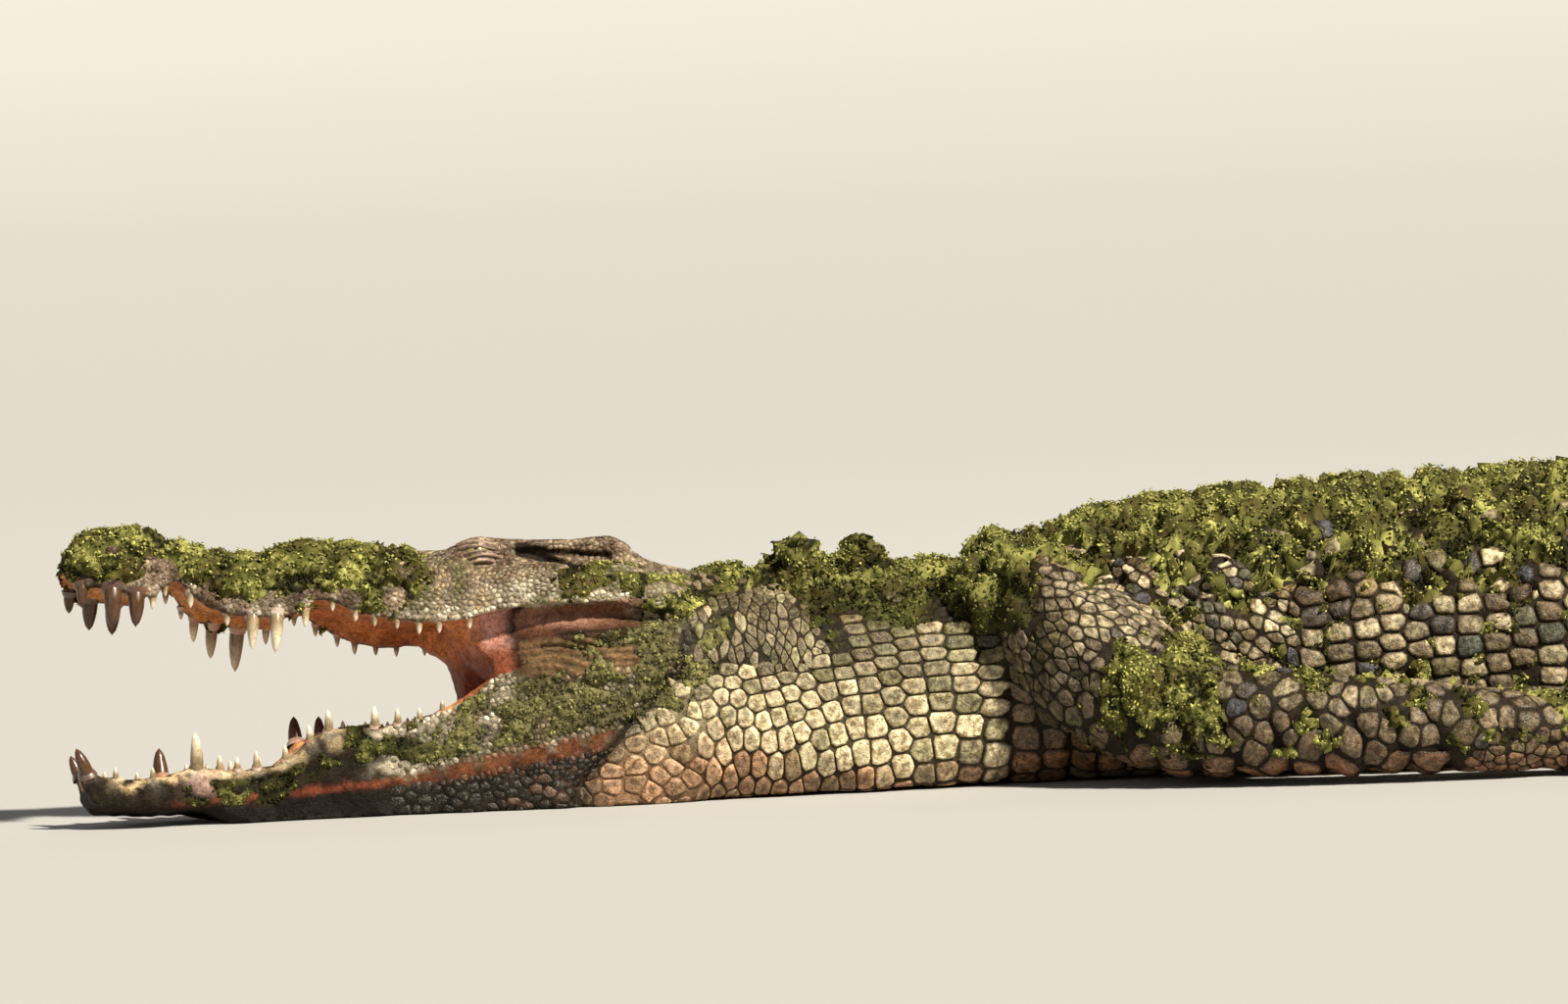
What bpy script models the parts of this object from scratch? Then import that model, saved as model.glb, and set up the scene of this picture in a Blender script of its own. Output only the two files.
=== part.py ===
"""A large saltwater crocodile, life size, lying on its belly with its mouth held open.

Metres, +Z up. The animal faces -X, its left side is at -Y, and the origin is on the floor under its belly.
The body is laid out along its own midline: s is the distance from the tip of the snout, v the distance from
the midline (positive to the animal's right) and z the height over the floor. Each part of the body is a loft
of rings in these terms, and place() bends the midline, rolls the head and gives the world point.
"""

import math

import bmesh
import bpy
import numpy as np
from mathutils import Matrix, Vector

# Driving dimensions, in metres and degrees
TOTAL_LENGTH = 4.20
BELLY_ORIGIN = 1.45  # s of the belly point that is the origin
HEAD_END = 0.62  # s of the cut between head and neck
SNOUT_END = 0.385  # s of the cut between snout and skull
NECK_END = 1.02
TRUNK_END = 2.06
TAIL_CUTS = (TRUNK_END, 2.55, 3.05, 3.60, TOTAL_LENGTH)
PART_GAP = 0.0006  # left between parts that meet
HEAD_ROLL = 8.0  # the left side of the head is the higher one
ROLL_PIVOT = 0.06  # height that the roll turns about
ROLL_LIFT = 0.004
EYE_RADIUS = 0.0165
EYE_AT = (0.425, 0.065, 0.250)
CREST_PITCH = 0.056
CREST_START = 2.10
CREST_MEETS = 2.98  # s where the two rows of tail scutes become one
TONGUE = (0.13, 0.43)
CHEEK_TOP = 0.378  # front edge of the mouth's corner at the palate
CHEEK_FOOT = 0.428  # and at the lower jaw


def smooth_curve(stations):
    """A function through (place, value) stations that never overshoots them."""
    xs, ys = (np.array(column, float) for column in zip(*stations))
    slopes = np.diff(ys) / np.diff(xs)
    tangents = np.zeros(len(xs))
    for i in range(1, len(xs) - 1):
        if slopes[i - 1] * slopes[i] > 0:
            tangents[i] = 2 / (1 / slopes[i - 1] + 1 / slopes[i])
    tangents[0], tangents[-1] = slopes[0], slopes[-1]

    def value(x):
        x = min(max(x, xs[0]), xs[-1])
        i = min(int(np.searchsorted(xs, x, side="right")) - 1, len(xs) - 2)
        h = xs[i + 1] - xs[i]
        t = (x - xs[i]) / h
        rise = ys[i] * (1 + 2 * t) * (1 - t) ** 2 + ys[i + 1] * t * t * (3 - 2 * t)
        return float(rise + h * t * (1 - t) * (tangents[i] * (1 - t) - tangents[i + 1] * t))

    return value


def bump(s, centre, width):
    """A smooth hill of height 1."""
    return math.exp(-(((s - centre) / width) ** 2))


def ramp(x, low, high):
    """0 below low, 1 above high and smooth between."""
    t = min(max((x - low) / (high - low), 0.0), 1.0)
    return t * t * (3 - 2 * t)


# The midline seen from above: its heading at each place, in degrees from +X
heading = smooth_curve(
    [(0.0, 15), (0.62, 15), (0.80, 10), (1.02, 2.5), (1.15, 0), (2.05, 0)]
    + [(2.40, 6), (2.80, 13), (3.20, 8), (3.60, -10), (4.20, -34)]
)
MIDLINE_STEP = 0.005


def lay_midline():
    """(x, y) of the midline at every step, walked out from the origin both ways."""
    places = np.arange(0, TOTAL_LENGTH + MIDLINE_STEP, MIDLINE_STEP)
    turn = np.radians([heading(s + MIDLINE_STEP / 2) for s in places])
    x = np.concatenate([[0], np.cumsum(np.cos(turn))]) * MIDLINE_STEP
    y = np.concatenate([[0], np.cumsum(np.sin(turn))]) * MIDLINE_STEP
    start = round(BELLY_ORIGIN / MIDLINE_STEP)
    return x - x[start], y - y[start]


MIDLINE_X, MIDLINE_Y = lay_midline()


def place(s, v, z):
    """World point of the body point (s, v, z)."""
    steps = np.arange(len(MIDLINE_X)) * MIDLINE_STEP
    x, y = np.interp(s, steps, MIDLINE_X), np.interp(s, steps, MIDLINE_Y)
    turn = math.radians(heading(s))
    rolled = 1 - ramp(s, HEAD_END, 0.95)
    roll = math.radians(HEAD_ROLL) * rolled
    side = v * math.cos(roll) + (z - ROLL_PIVOT) * math.sin(roll)
    height = ROLL_PIVOT + (z - ROLL_PIVOT) * math.cos(roll) - v * math.sin(roll)
    height = max(height + ROLL_LIFT * rolled, 0.0)
    return Vector((x - side * math.sin(turn), y + side * math.cos(turn), height))


# ---------------------------------------------------------------- mesh helpers
PARTS = "crocodile"
HELPERS = "cutters"


def clear_scene():
    for old in list(bpy.data.objects):
        bpy.data.objects.remove(old)
    for name in (PARTS, HELPERS):
        made = bpy.data.collections.new(name)
        bpy.context.scene.collection.children.link(made)


def paint(colour, roughness, name):
    """A plain Principled material, made once."""
    material = bpy.data.materials.get(name)
    if material is None:
        material = bpy.data.materials.new(name)
        material.use_nodes = True
        shader = material.node_tree.nodes["Principled BSDF"]
        shader.inputs["Base Color"].default_value = (*colour, 1)
        shader.inputs["Roughness"].default_value = roughness
        shader.inputs["Metallic"].default_value = 0.0
    return material


HIDE = ((0.30, 0.29, 0.20), 0.75, "hide")
MOUTH = ((0.62, 0.27, 0.15), 0.45, "mouth_lining")
EYE = ((0.20, 0.16, 0.05), 0.10, "eye")
CLAW = ((0.10, 0.09, 0.07), 0.40, "claw")


def mesh_object(name, mesh, look, collection=PARTS):
    made = bpy.data.objects.new(name, mesh)
    bpy.data.collections[collection].objects.link(made)
    made.data.materials.clear()
    made.data.materials.append(paint(*look))
    if collection == HELPERS:
        made.hide_render = True
        made.display_type = "WIRE"
    return made


def loft(name, rings, look=HIDE, collection=PARTS):
    """A closed solid through rings of points, all of one length, with its two ends capped."""
    mesh = bpy.data.meshes.new(name)
    shape = bmesh.new()
    rows = [[shape.verts.new(point) for point in ring] for ring in rings]
    count = len(rows[0])
    for back, front in zip(rows, rows[1:]):
        for i in range(count):
            j = (i + 1) % count
            shape.faces.new((back[i], back[j], front[j], front[i]))
    for row in (rows[0], rows[-1]):
        shape.faces.new(row)
    shape.normal_update()
    bmesh.ops.triangulate(shape, faces=shape.faces[:], ngon_method="EAR_CLIP")
    bmesh.ops.recalc_face_normals(shape, faces=shape.faces[:])
    shape.to_mesh(mesh)
    shape.free()
    mesh.shade_smooth()
    return mesh_object(name, mesh, look, collection)


def apply_modifiers(target):
    graph = bpy.context.evaluated_depsgraph_get()
    baked = bpy.data.meshes.new_from_object(target.evaluated_get(graph))
    target.modifiers.clear()
    target.data = baked


def combine(target, others, operation):
    """Joins the others to the target, or cuts them from it, and removes them."""
    group = bpy.data.collections.new("operands")
    bpy.context.scene.collection.children.link(group)
    for other in others:
        group.objects.link(other)
    cut = target.modifiers.new(operation.lower(), "BOOLEAN")
    cut.operand_type = "COLLECTION"
    cut.collection = group
    cut.operation = operation
    cut.solver = "EXACT"
    cut.use_self = operation == "DIFFERENCE"
    apply_modifiers(target)
    for other in others:
        bpy.data.objects.remove(other)
    bpy.data.collections.remove(group)


def swollen(source, by, name):
    """A copy of a part, grown along its normals, to cut its neighbours with."""
    mesh = bpy.data.meshes.new(name)
    shape = bmesh.new()
    shape.from_mesh(source.data)
    moves = [vertex.normal * by * min(vertex.calc_shell_factor(), 3.0) for vertex in shape.verts]
    for vertex, move in zip(shape.verts, moves):
        vertex.co += move
    shape.to_mesh(mesh)
    shape.free()
    return mesh_object(name, mesh, HIDE, HELPERS)


# ---------------------------------------------------------------- head
snout_top = smooth_curve(
    [(0.0, 0.264), (0.018, 0.287), (0.04, 0.296), (0.07, 0.300), (0.10, 0.293), (0.13, 0.279)]
    + [(0.19, 0.264), (0.25, 0.274), (0.33, 0.267), (0.39, 0.261), (0.43, 0.259), (0.47, 0.260)]
    + [(0.565, 0.261), (0.585, 0.254), (0.600, 0.239), (0.62, 0.233)]
)
# The upper lip hangs in lobes, with a notch at s = 0.114 that a lower tooth fits when the mouth is shut
lip = smooth_curve(
    [(0.0, 0.252), (0.01, 0.242), (0.035, 0.2355), (0.065, 0.228), (0.085, 0.2245), (0.100, 0.2334)]
    + [(0.114, 0.2405), (0.125, 0.230), (0.145, 0.210), (0.175, 0.199), (0.210, 0.1952), (0.235, 0.1965)]
    + [(0.25, 0.208), (0.26, 0.2095), (0.29, 0.199), (0.33, 0.1855), (0.36, 0.181), (0.40, 0.1795)]
    + [(0.44, 0.1865), (0.48, 0.1896), (0.52, 0.188), (0.56, 0.182), (0.62, 0.164)]
)
upper_half_width = smooth_curve(
    [(0.0, 0.014), (0.006, 0.030), (0.02, 0.047), (0.055, 0.060), (0.085, 0.057), (0.114, 0.047)]
    + [(0.16, 0.067), (0.21, 0.078), (0.26, 0.075), (0.35, 0.089), (0.50, 0.130), (0.62, 0.153)]
)
jaw_rim = smooth_curve(
    [(0.004, 0.060), (0.016, 0.0525), (0.035, 0.047), (0.07, 0.0435), (0.09, 0.0462), (0.12, 0.0493)]
    + [(0.16, 0.0466), (0.20, 0.0488), (0.225, 0.0614), (0.25, 0.078), (0.28, 0.082), (0.34, 0.0823)]
    + [(0.37, 0.092), (0.40, 0.108), (0.44, 0.1305), (0.50, 0.1398), (0.62, 0.150)]
)
lower_half_width = smooth_curve(
    [(0.004, 0.010), (0.010, 0.022), (0.03, 0.038), (0.06, 0.047), (0.13, 0.053), (0.20, 0.057)]
    + [(0.30, 0.071), (0.40, 0.098), (0.50, 0.129), (0.62, 0.156)]
)
# The chin clears the floor, and the throat behind it sags onto it
chin_line = smooth_curve(
    [(0.004, 0.046), (0.012, 0.023), (0.019, 0.014), (0.030, 0.009), (0.07, 0.006), (0.12, 0.004)]
    + [(0.20, -0.045), (0.62, -0.045)]
)
# The hard lower edge of the lower jaw
jaw_edge = smooth_curve([(0.004, 0.049), (0.02, 0.018), (0.06, 0.014), (0.20, 0.026), (0.42, 0.032), (0.62, 0.075)])
RIGHT_LIP_SAG = 0.011  # the right lip hangs lower over the back teeth
RIGHT_RIM_DROP = 0.020  # and the right rim of the lower jaw is lower before the mouth's corner
TABLE_HALF_WIDTH = 0.076  # the flat top of the braincase
TABLE_DROP = 0.024
PALATE_RISE = 0.008


def lip_at(s, v):
    sag = RIGHT_LIP_SAG * ramp(s, 0.24, 0.30) * (1 - ramp(s, 0.42, 0.52))
    return lip(s) - sag * ramp(v / upper_half_width(s), 0.0, 1.0)


def rim_at(s, v):
    drop = RIGHT_RIM_DROP * bump(s, 0.415, 0.035)
    return jaw_rim(s) - drop * ramp(v / lower_half_width(s), 0.0, 1.0)


def palate(s, v):
    """Height of the roof of the mouth."""
    across = min(abs(v) / upper_half_width(s), 1.0)
    return lip_at(s, v) + PALATE_RISE * (1 - across**4)


def snout_half_ring(s, low):
    """Points from the midline on top down to the lip, on a rounded snout."""
    half, top = upper_half_width(s), snout_top(s)
    for degrees in (90, 76, 62, 48, 34, 20, 9, 0):
        turn = math.radians(degrees)
        v = half * math.cos(turn) ** 0.80 if degrees < 90 else 0.0
        yield v, low + (top - low) * math.sin(turn) ** 0.72


def skull_half_ring(s, low):
    """The same points where the head has a flat table, with raised lids over the eyes in front."""
    half, top = upper_half_width(s), snout_top(s)
    lid = bump(s, EYE_AT[0] + 0.004, 0.024)
    table = TABLE_HALF_WIDTH - 0.006 * lid
    cheek = low + 0.62 * (top - low)
    yield 0.0, top - 0.004 * lid
    yield 0.32 * table, top - 0.001
    yield 0.70 * table, top + 0.001 + 0.010 * lid
    yield table, top - 0.001 + 0.007 * lid
    yield table + 0.008, top - TABLE_DROP
    yield table + 0.5 * (half - table), cheek
    yield half - 0.003, low + 0.032
    yield half, low


def upper_half(s, side):
    """One side of the upper ring, from the midline on top round to the palate beside its midline."""
    skull = ramp(s, 0.37, 0.44)
    half = upper_half_width(s)
    low = lip_at(s, side * half)
    points = []
    for (v, z), (w, y) in zip(snout_half_ring(s, low), skull_half_ring(s, low)):
        points.append((side * (v + skull * (w - v)), z + skull * (y - z)))
    gum = side * (half - min(0.010, half / 3))
    inner = side * 0.6 * half
    return points + [(gum, low + 0.001), (inner, palate(s, inner))]


def upper_ring(s):
    ring = upper_half(s, 1) + [(0.0, palate(s, 0.0))] + upper_half(s, -1)[:0:-1]
    return [place(s, v, z) for v, z in ring]


def mouth_floor(s, v):
    """Height inside the lower jaw: a shelf by the teeth and a shallow trough between."""
    half = lower_half_width(s)
    depth = 0.006 + 0.018 * ramp(s, 0.08, 0.30)
    across = min(abs(v) / (half - min(0.020, half / 2)), 1.0)
    return rim_at(s, v) - depth * (1 - across**4) - 0.003


def lower_half(s, side):
    """One side of the lower ring, from inside the mouth over the rim and down to the throat."""
    half, edge, under = lower_half_width(s), jaw_edge(s), chin_line(s)
    rim = rim_at(s, side * half)
    inside = half - min(0.020, half / 2)
    points = [
        (0.5 * inside, mouth_floor(s, side * 0.5 * inside)),
        (inside, mouth_floor(s, side * inside)),
        (half - min(0.010, 0.3 * half), rim - 0.001),
        (half - min(0.003, 0.1 * half), rim - 0.003),
        (half, rim - 0.25 * (rim - edge)),
        (half - 0.001, rim - 0.62 * (rim - edge)),
        (0.95 * half, edge),
        (0.88 * half, under + 0.25 * max(edge - under, 0.0)),
        (0.66 * half, under),
    ]
    return [(side * v, z) for v, z in points]


def lower_ring(s):
    ring = [(0.0, mouth_floor(s, 0.0))] + lower_half(s, 1) + lower_half(s, -1)[::-1]
    return [place(s, v, z) for v, z in ring]


# (s, length) of the teeth of each side
UPPER_LEFT_TEETH = (
    [(0.017, 0.020), (0.046, 0.036), (0.070, 0.034), (0.087, 0.012), (0.102, 0.008), (0.128, 0.014)]
    + [(0.161, 0.012), (0.186, 0.032), (0.210, 0.036), (0.241, 0.016), (0.270, 0.008), (0.293, 0.011)]
    + [(0.312, 0.010), (0.334, 0.008), (0.356, 0.012), (0.376, 0.011), (0.406, 0.009)]
)
UPPER_RIGHT_TEETH = (
    [(0.018, 0.018), (0.042, 0.030), (0.066, 0.030), (0.088, 0.010), (0.119, 0.012), (0.135, 0.010)]
    + [(0.150, 0.022), (0.170, 0.032), (0.198, 0.042), (0.228, 0.016), (0.258, 0.010), (0.280, 0.010)]
    + [(0.303, 0.010), (0.322, 0.012), (0.345, 0.009), (0.368, 0.009), (0.400, 0.008)]
)
LOWER_LEFT_TEETH = (
    [(0.014, 0.024), (0.038, 0.009), (0.075, 0.009), (0.120, 0.036), (0.144, 0.013), (0.162, 0.011)]
    + [(0.182, 0.015), (0.212, 0.013), (0.238, 0.014), (0.258, 0.020), (0.305, 0.018), (0.328, 0.014)]
    + [(0.350, 0.011), (0.373, 0.008)]
)
LOWER_RIGHT_TEETH = (
    [(0.014, 0.020), (0.040, 0.010), (0.075, 0.010), (0.101, 0.030), (0.128, 0.011), (0.150, 0.012)]
    + [(0.175, 0.014), (0.205, 0.015), (0.247, 0.026), (0.274, 0.020), (0.300, 0.014), (0.325, 0.012)]
    + [(0.350, 0.010), (0.373, 0.008)]
)
TOOTH_SIDES = 4
TOOTH_ROOT = 0.010
TOOTH_INSET = 0.007


def tooth(name, foot, tip, radius):
    """A cone from inside the gum to its point."""
    axis = (tip - foot).normalized()
    across = axis.orthogonal().normalized()
    along = axis.cross(across)
    rings = []
    for share, width in ((0.0, 1.15), (1.0, 0.14)):
        centre = foot.lerp(tip, share)
        ring = []
        for i in range(TOOTH_SIDES):
            turn = 2 * math.pi * i / TOOTH_SIDES
            ring.append(centre + radius * width * (across * math.cos(turn) + along * math.sin(turn)))
        rings.append(ring)
    return loft(name, rings, collection=HELPERS)


def tooth_row(teeth, side, upper, start=0.0, end=HEAD_END):
    """The teeth of one side between two places. Upper ones hang a little outwards, and lower ones lean out."""
    made = []
    for s, length in teeth:
        if not start < s < end:
            continue
        half = upper_half_width(s) if upper else lower_half_width(s)
        edge = lip_at(s, side * half) if upper else rim_at(s, side * half)
        down = -1 if upper else 1
        lean = 0.12 if upper else 0.18
        forward = 0.55 * (1 - ramp(s, 0.012, 0.04)) if not upper else 0.15
        v = side * (half - min(TOOTH_INSET, half / 3))
        foot = place(s, v, edge - down * TOOTH_ROOT)
        tip = place(max(s - forward * length, 0.001), v + side * lean * length, edge + down * length)
        made.append(tooth("tooth", foot, tip, 0.0022 + 0.135 * length))
    return made


def spread(start, end, count):
    return [float(s) for s in np.linspace(start, end, count)]


def toothless(source):
    """A hidden copy of a jaw before its teeth are joined, to cut its neighbours with."""
    return mesh_object(source.name + "_toothless", source.data.copy(), HIDE, HELPERS)


def build_upper_jaw():
    tip = [0.0, 0.006, 0.016, 0.03, 0.048, 0.068, 0.086, 0.10, 0.114, 0.126, 0.145, 0.17, 0.205, 0.235]
    rest = [0.252, 0.27, 0.30, 0.34, SNOUT_END - PART_GAP / 2]
    snout = loft("upper_jaw", [upper_ring(s) for s in tip + rest])
    plain = toothless(snout)
    teeth = tooth_row(UPPER_LEFT_TEETH, -1, True, end=SNOUT_END - 0.006)
    teeth += tooth_row(UPPER_RIGHT_TEETH, 1, True, end=SNOUT_END - 0.006)
    combine(snout, teeth, "UNION")
    return plain


def build_skull():
    places = [SNOUT_END + PART_GAP / 2, 0.40, 0.412, 0.424, 0.436, 0.45, 0.47, 0.50, 0.54]
    skull = loft("skull", [upper_ring(s) for s in places + [0.575, 0.597, HEAD_END - PART_GAP / 2]])
    plain = toothless(skull)
    teeth = tooth_row(UPPER_LEFT_TEETH, -1, True, start=SNOUT_END + 0.006)
    teeth += tooth_row(UPPER_RIGHT_TEETH, 1, True, start=SNOUT_END + 0.006)
    combine(skull, teeth, "UNION")
    sockets = []
    for side in (-1, 1):
        centre = place(EYE_AT[0], side * EYE_AT[1], EYE_AT[2])
        sockets.append(ball("socket", centre, EYE_RADIUS + PART_GAP, HELPERS))
    combine(skull, sockets, "DIFFERENCE")
    return plain


def ball(name, centre, radius, collection=PARTS, look=EYE):
    bpy.ops.mesh.primitive_uv_sphere_add(segments=8, ring_count=6, radius=radius, location=centre)
    mesh = bpy.context.object.data
    mesh.transform(bpy.context.object.matrix_world)
    bpy.data.objects.remove(bpy.context.object)
    mesh.shade_smooth()
    return mesh_object(name, mesh, look, collection)


def build_eyes():
    for side, name in ((-1, "eye_left"), (1, "eye_right")):
        ball(name, place(EYE_AT[0], side * EYE_AT[1], EYE_AT[2]), EYE_RADIUS)


def build_lower_jaw():
    tip = [0.004, 0.010, 0.019, 0.032, 0.05, 0.08, 0.115, 0.155, 0.195, 0.222, 0.25, 0.28, 0.32]
    rest = [0.355, 0.385, 0.41, 0.44, 0.475, 0.52, 0.57, HEAD_END - PART_GAP / 2]
    jaw = loft("lower_jaw", [lower_ring(s) for s in tip + rest])
    plain = toothless(jaw)
    teeth = tooth_row(LOWER_LEFT_TEETH, -1, False) + tooth_row(LOWER_RIGHT_TEETH, 1, False)
    combine(jaw, teeth, "UNION")
    return plain


def build_tongue(jaw):
    rings = []
    for s in spread(*TONGUE, 9):
        share = (s - TONGUE[0]) / (TONGUE[1] - TONGUE[0])
        half = (lower_half_width(s) - 0.026) * min(1.0, 0.45 + 2.2 * share)
        rise = 0.004 + 0.014 * math.sin(math.pi * min(share + 0.12, 1.0) * 0.8)
        top = [(t * half, mouth_floor(s, t * half) + rise * (1 - abs(t) ** 3) + 0.002) for t in (-1, -0.6, 0, 0.6, 1)]
        under = [(t * half, mouth_floor(s, t * half) - 0.006) for t in (0.9, 0, -0.9)]
        rings.append([place(s, v, z) for v, z in top + under])
    tongue = loft("tongue", rings, MOUTH)
    combine(tongue, [swollen(jaw, PART_GAP, "cut_by_jaw")], "DIFFERENCE")


def build_mouth_corner(jaws):
    """The flesh that closes the mouth behind the teeth: a hollow front, a band under the skull and a bulge over
    the lower jaw on each side. The jaws cut it, so that it meets them with no overlap."""
    rings = []
    back = HEAD_END - PART_GAP / 2
    clearance = 0.0016
    for share in (0.0, 0.10, 0.24, 0.40, 0.58, 0.78, 1.0):
        head_s = CHEEK_TOP + share * (back - CHEEK_TOP)
        foot_s = CHEEK_FOOT + share * (back - CHEEK_FOOT)
        hollow = 0.012 * (1 - share) ** 3
        throat = 0.030 * (1 - share) ** 2
        bulge = ramp(share, 0.20, 0.50)
        top = upper_half_width(head_s) - 0.016
        low = lower_half_width(foot_s) - 0.012

        def at(fall, v, lift=0.0, head_s=head_s, foot_s=foot_s, hollow=hollow, throat=throat, wide=top):
            """A point some share of the way down from the palate to the floor of the mouth."""
            s = head_s + fall * (foot_s - head_s) + hollow * math.sin(math.pi * fall)
            s += throat * (1 - min(abs(v) / wide, 1.0) ** 2)
            upper = palate(s, v) - clearance
            lower = mouth_floor(s, v) + clearance
            return place(s, v, upper + fall * (lower - upper) + lift)

        rim = jaw_rim(foot_s) - mouth_floor(foot_s, -low) + 0.001
        half = [(0.0, 0.0, 0.0), (0.0, 0.55 * top, 0.0), (0.0, top, 0.0)]
        half += [(0.30, 0.5 * (top + low) - 0.018 + 0.010 * bulge, 0.0)]
        half += [(0.62, low - 0.004 + 0.016 * bulge, 0.0), (0.90, low + 0.008 * bulge, rim)]
        half += [(1.0, low, rim), (1.0, low - 0.012, 0.004), (1.0, 0.5 * low, 0.0)]
        right = [at(fall, v, lift) for fall, v, lift in half]
        left = [at(fall, -v, lift) for fall, v, lift in half[1:]]
        rings.append(right + [at(1.0, 0.0)] + left[::-1])
    corner = loft("mouth_corner", rings, MOUTH)
    combine(corner, [swollen(jaw, PART_GAP, "cut_by_jaw") for jaw in jaws], "DIFFERENCE")


# ---------------------------------------------------------------- neck, trunk and tail
body_top = smooth_curve(
    [(0.62, 0.238), (0.66, 0.227), (0.72, 0.226), (0.95, 0.224), (0.975, 0.228), (1.06, 0.262), (1.16, 0.278)]
    + [(1.40, 0.291), (1.68, 0.298), (1.92, 0.282), (2.10, 0.245), (2.50, 0.196), (3.05, 0.132)]
    + [(3.60, 0.083), (4.20, 0.014)]
)
body_half_width = smooth_curve(
    [(0.62, 0.157), (0.74, 0.168), (0.95, 0.176), (1.10, 0.205), (1.40, 0.243), (1.68, 0.252)]
    + [(1.90, 0.215), (2.10, 0.150), (2.50, 0.108), (3.05, 0.066), (3.60, 0.038), (4.20, 0.007)]
)
BELLY_SINK = 0.014  # the belly's round is cut flat this far up
NECK_SINK = 0.022  # and the neck's this much further, so that both sides of the rolled part reach the floor
BODY_POINTS = 24
NUCHAL_SCUTES = ((0.775, 0.036), (0.845, 0.038))  # (s, v) of the neck shield's plates


def body_ring(s):
    top, half = body_top(s), body_half_width(s)
    widest = 0.40 * top
    sink = BELLY_SINK + NECK_SINK * (1 - ramp(s, 0.80, 1.0))
    ring = []
    for i in range(BODY_POINTS):
        turn = 2 * math.pi * i / BODY_POINTS
        c, n = math.cos(turn), math.sin(turn)
        square = 0.86 if n > 0 else 0.70 - 0.14 * (1 - ramp(s, 0.90, 1.15))
        v = half * math.copysign(abs(c) ** square, c)
        reach = top - widest if n > 0 else widest + sink
        z = widest + reach * math.copysign(abs(n) ** square, n)
        if n > 0:
            for scute_s, scute_v in NUCHAL_SCUTES:
                z += 0.042 * bump(s, scute_s, 0.020) * bump(abs(v), scute_v, 0.024)
        ring.append(place(s, v, max(z, 0.0)))
    return ring


def build_neck():
    places = [HEAD_END + PART_GAP / 2, 0.68, 0.735, 0.775, 0.81, 0.845, 0.885, 0.94]
    return loft("neck", [body_ring(s) for s in places + [NECK_END - PART_GAP / 2]])


def build_trunk():
    places = [NECK_END + PART_GAP / 2, 1.06, 1.10, 1.16, 1.24, 1.34, 1.45, 1.57, 1.69, 1.79, 1.88, 1.97]
    return loft("trunk", [body_ring(s) for s in places + [TRUNK_END - PART_GAP / 2]])


def crest_height(s):
    return 0.034 * ramp(s, CREST_START - 0.1, CREST_START + 0.25) + 0.012 * ramp(s, 2.9, 3.2) - 0.030 * ramp(
        s, 3.55, TOTAL_LENGTH
    )


def crest_tooth(s):
    """Each scute of the crest rises towards the tail's tip and drops behind."""
    share = ((s - CREST_START) / CREST_PITCH) % 1.0
    return 0.30 + 0.70 * (share / 0.80 if share < 0.80 else (1 - share) / 0.20)


def tail_ring(s):
    """A deep oval whose top carries two crests, which draw together and become one."""
    top, half = body_top(s), body_half_width(s)
    widest = 0.42 * top
    rise = crest_height(s) * crest_tooth(s)
    parted = 1 - ramp(s, CREST_MEETS - 0.35, CREST_MEETS)
    crest_v = 0.0026 + 0.036 * parted * (half / 0.13)
    right = [
        (crest_v, top + rise),
        (crest_v + min(0.012, 0.2 * half), top - 0.05 * top),
        (0.93 * half, widest + 0.42 * (top - widest)),
        (0.95 * half, 0.50 * widest),
        (0.45 * half, -0.01),
    ]
    left = [(-v, z) for v, z in right]
    middle = top + rise * (1 - parted) + 0.0008
    ring = [(0.0, middle)] + right + left[::-1]
    return [place(s, v, max(z, 0.0)) for v, z in ring]


def build_tail():
    for number, (start, end) in enumerate(zip(TAIL_CUTS, TAIL_CUTS[1:]), 1):
        places = {start + PART_GAP / 2, end - PART_GAP / 2}
        first = math.ceil((start - CREST_START) / CREST_PITCH)
        last = math.floor((end - CREST_START) / CREST_PITCH)
        for tooth_number in range(first - 1, last + 1):
            for share in (0.0, 0.80):
                s = CREST_START + (tooth_number + share) * CREST_PITCH
                if start + 0.008 < s < end - 0.008:
                    places.add(s)
        loft(f"tail_{number}", [tail_ring(s) for s in sorted(places)])


# ---------------------------------------------------------------- limbs
LIMB_POINTS = 10
PALM_POINTS = 8
SMALL_POINTS = 5  # of a digit or claw


def through(points, share):
    """A point on the smooth curve through the given ones, at a share of their count."""
    at = share * (len(points) - 1)
    i = min(int(at), len(points) - 2)
    t = at - i
    p = [points[min(max(i + k, 0), len(points) - 1)] for k in (-1, 0, 1, 2)]
    out = []
    for a, b, c, d in zip(*p):
        out.append(0.5 * (2 * b + (c - a) * t + (2 * a - 5 * b + 4 * c - d) * t * t + (3 * b - a - 3 * c + d) * t**3))
    return out


def limb_tube(name, joints, start, end, rings, points=LIMB_POINTS, collection=PARTS, look=HIDE):
    """A limb's length between two shares of its joints, each given as x, y, z, width and depth."""
    made = []
    step = 0.02
    for share in spread(start, end, rings):
        x, y, z, width, depth = through(joints, share)
        ahead = Vector(through(joints, min(share + step, 1))[:3])
        behind = Vector(through(joints, max(share - step, 0))[:3])
        along = (ahead - behind).normalized()
        side = along.cross(Vector((0, 0, 1))).normalized()
        up = side.cross(along)
        ring = []
        for i in range(points):
            turn = 2 * math.pi * (i + 0.5) / points
            point = Vector((x, y, z)) + side * width * math.cos(turn) + up * depth * math.sin(turn)
            point.z = max(point.z, 0.0)
            ring.append(point)
        made.append(ring)
    return loft(name, made, look, collection)


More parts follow.
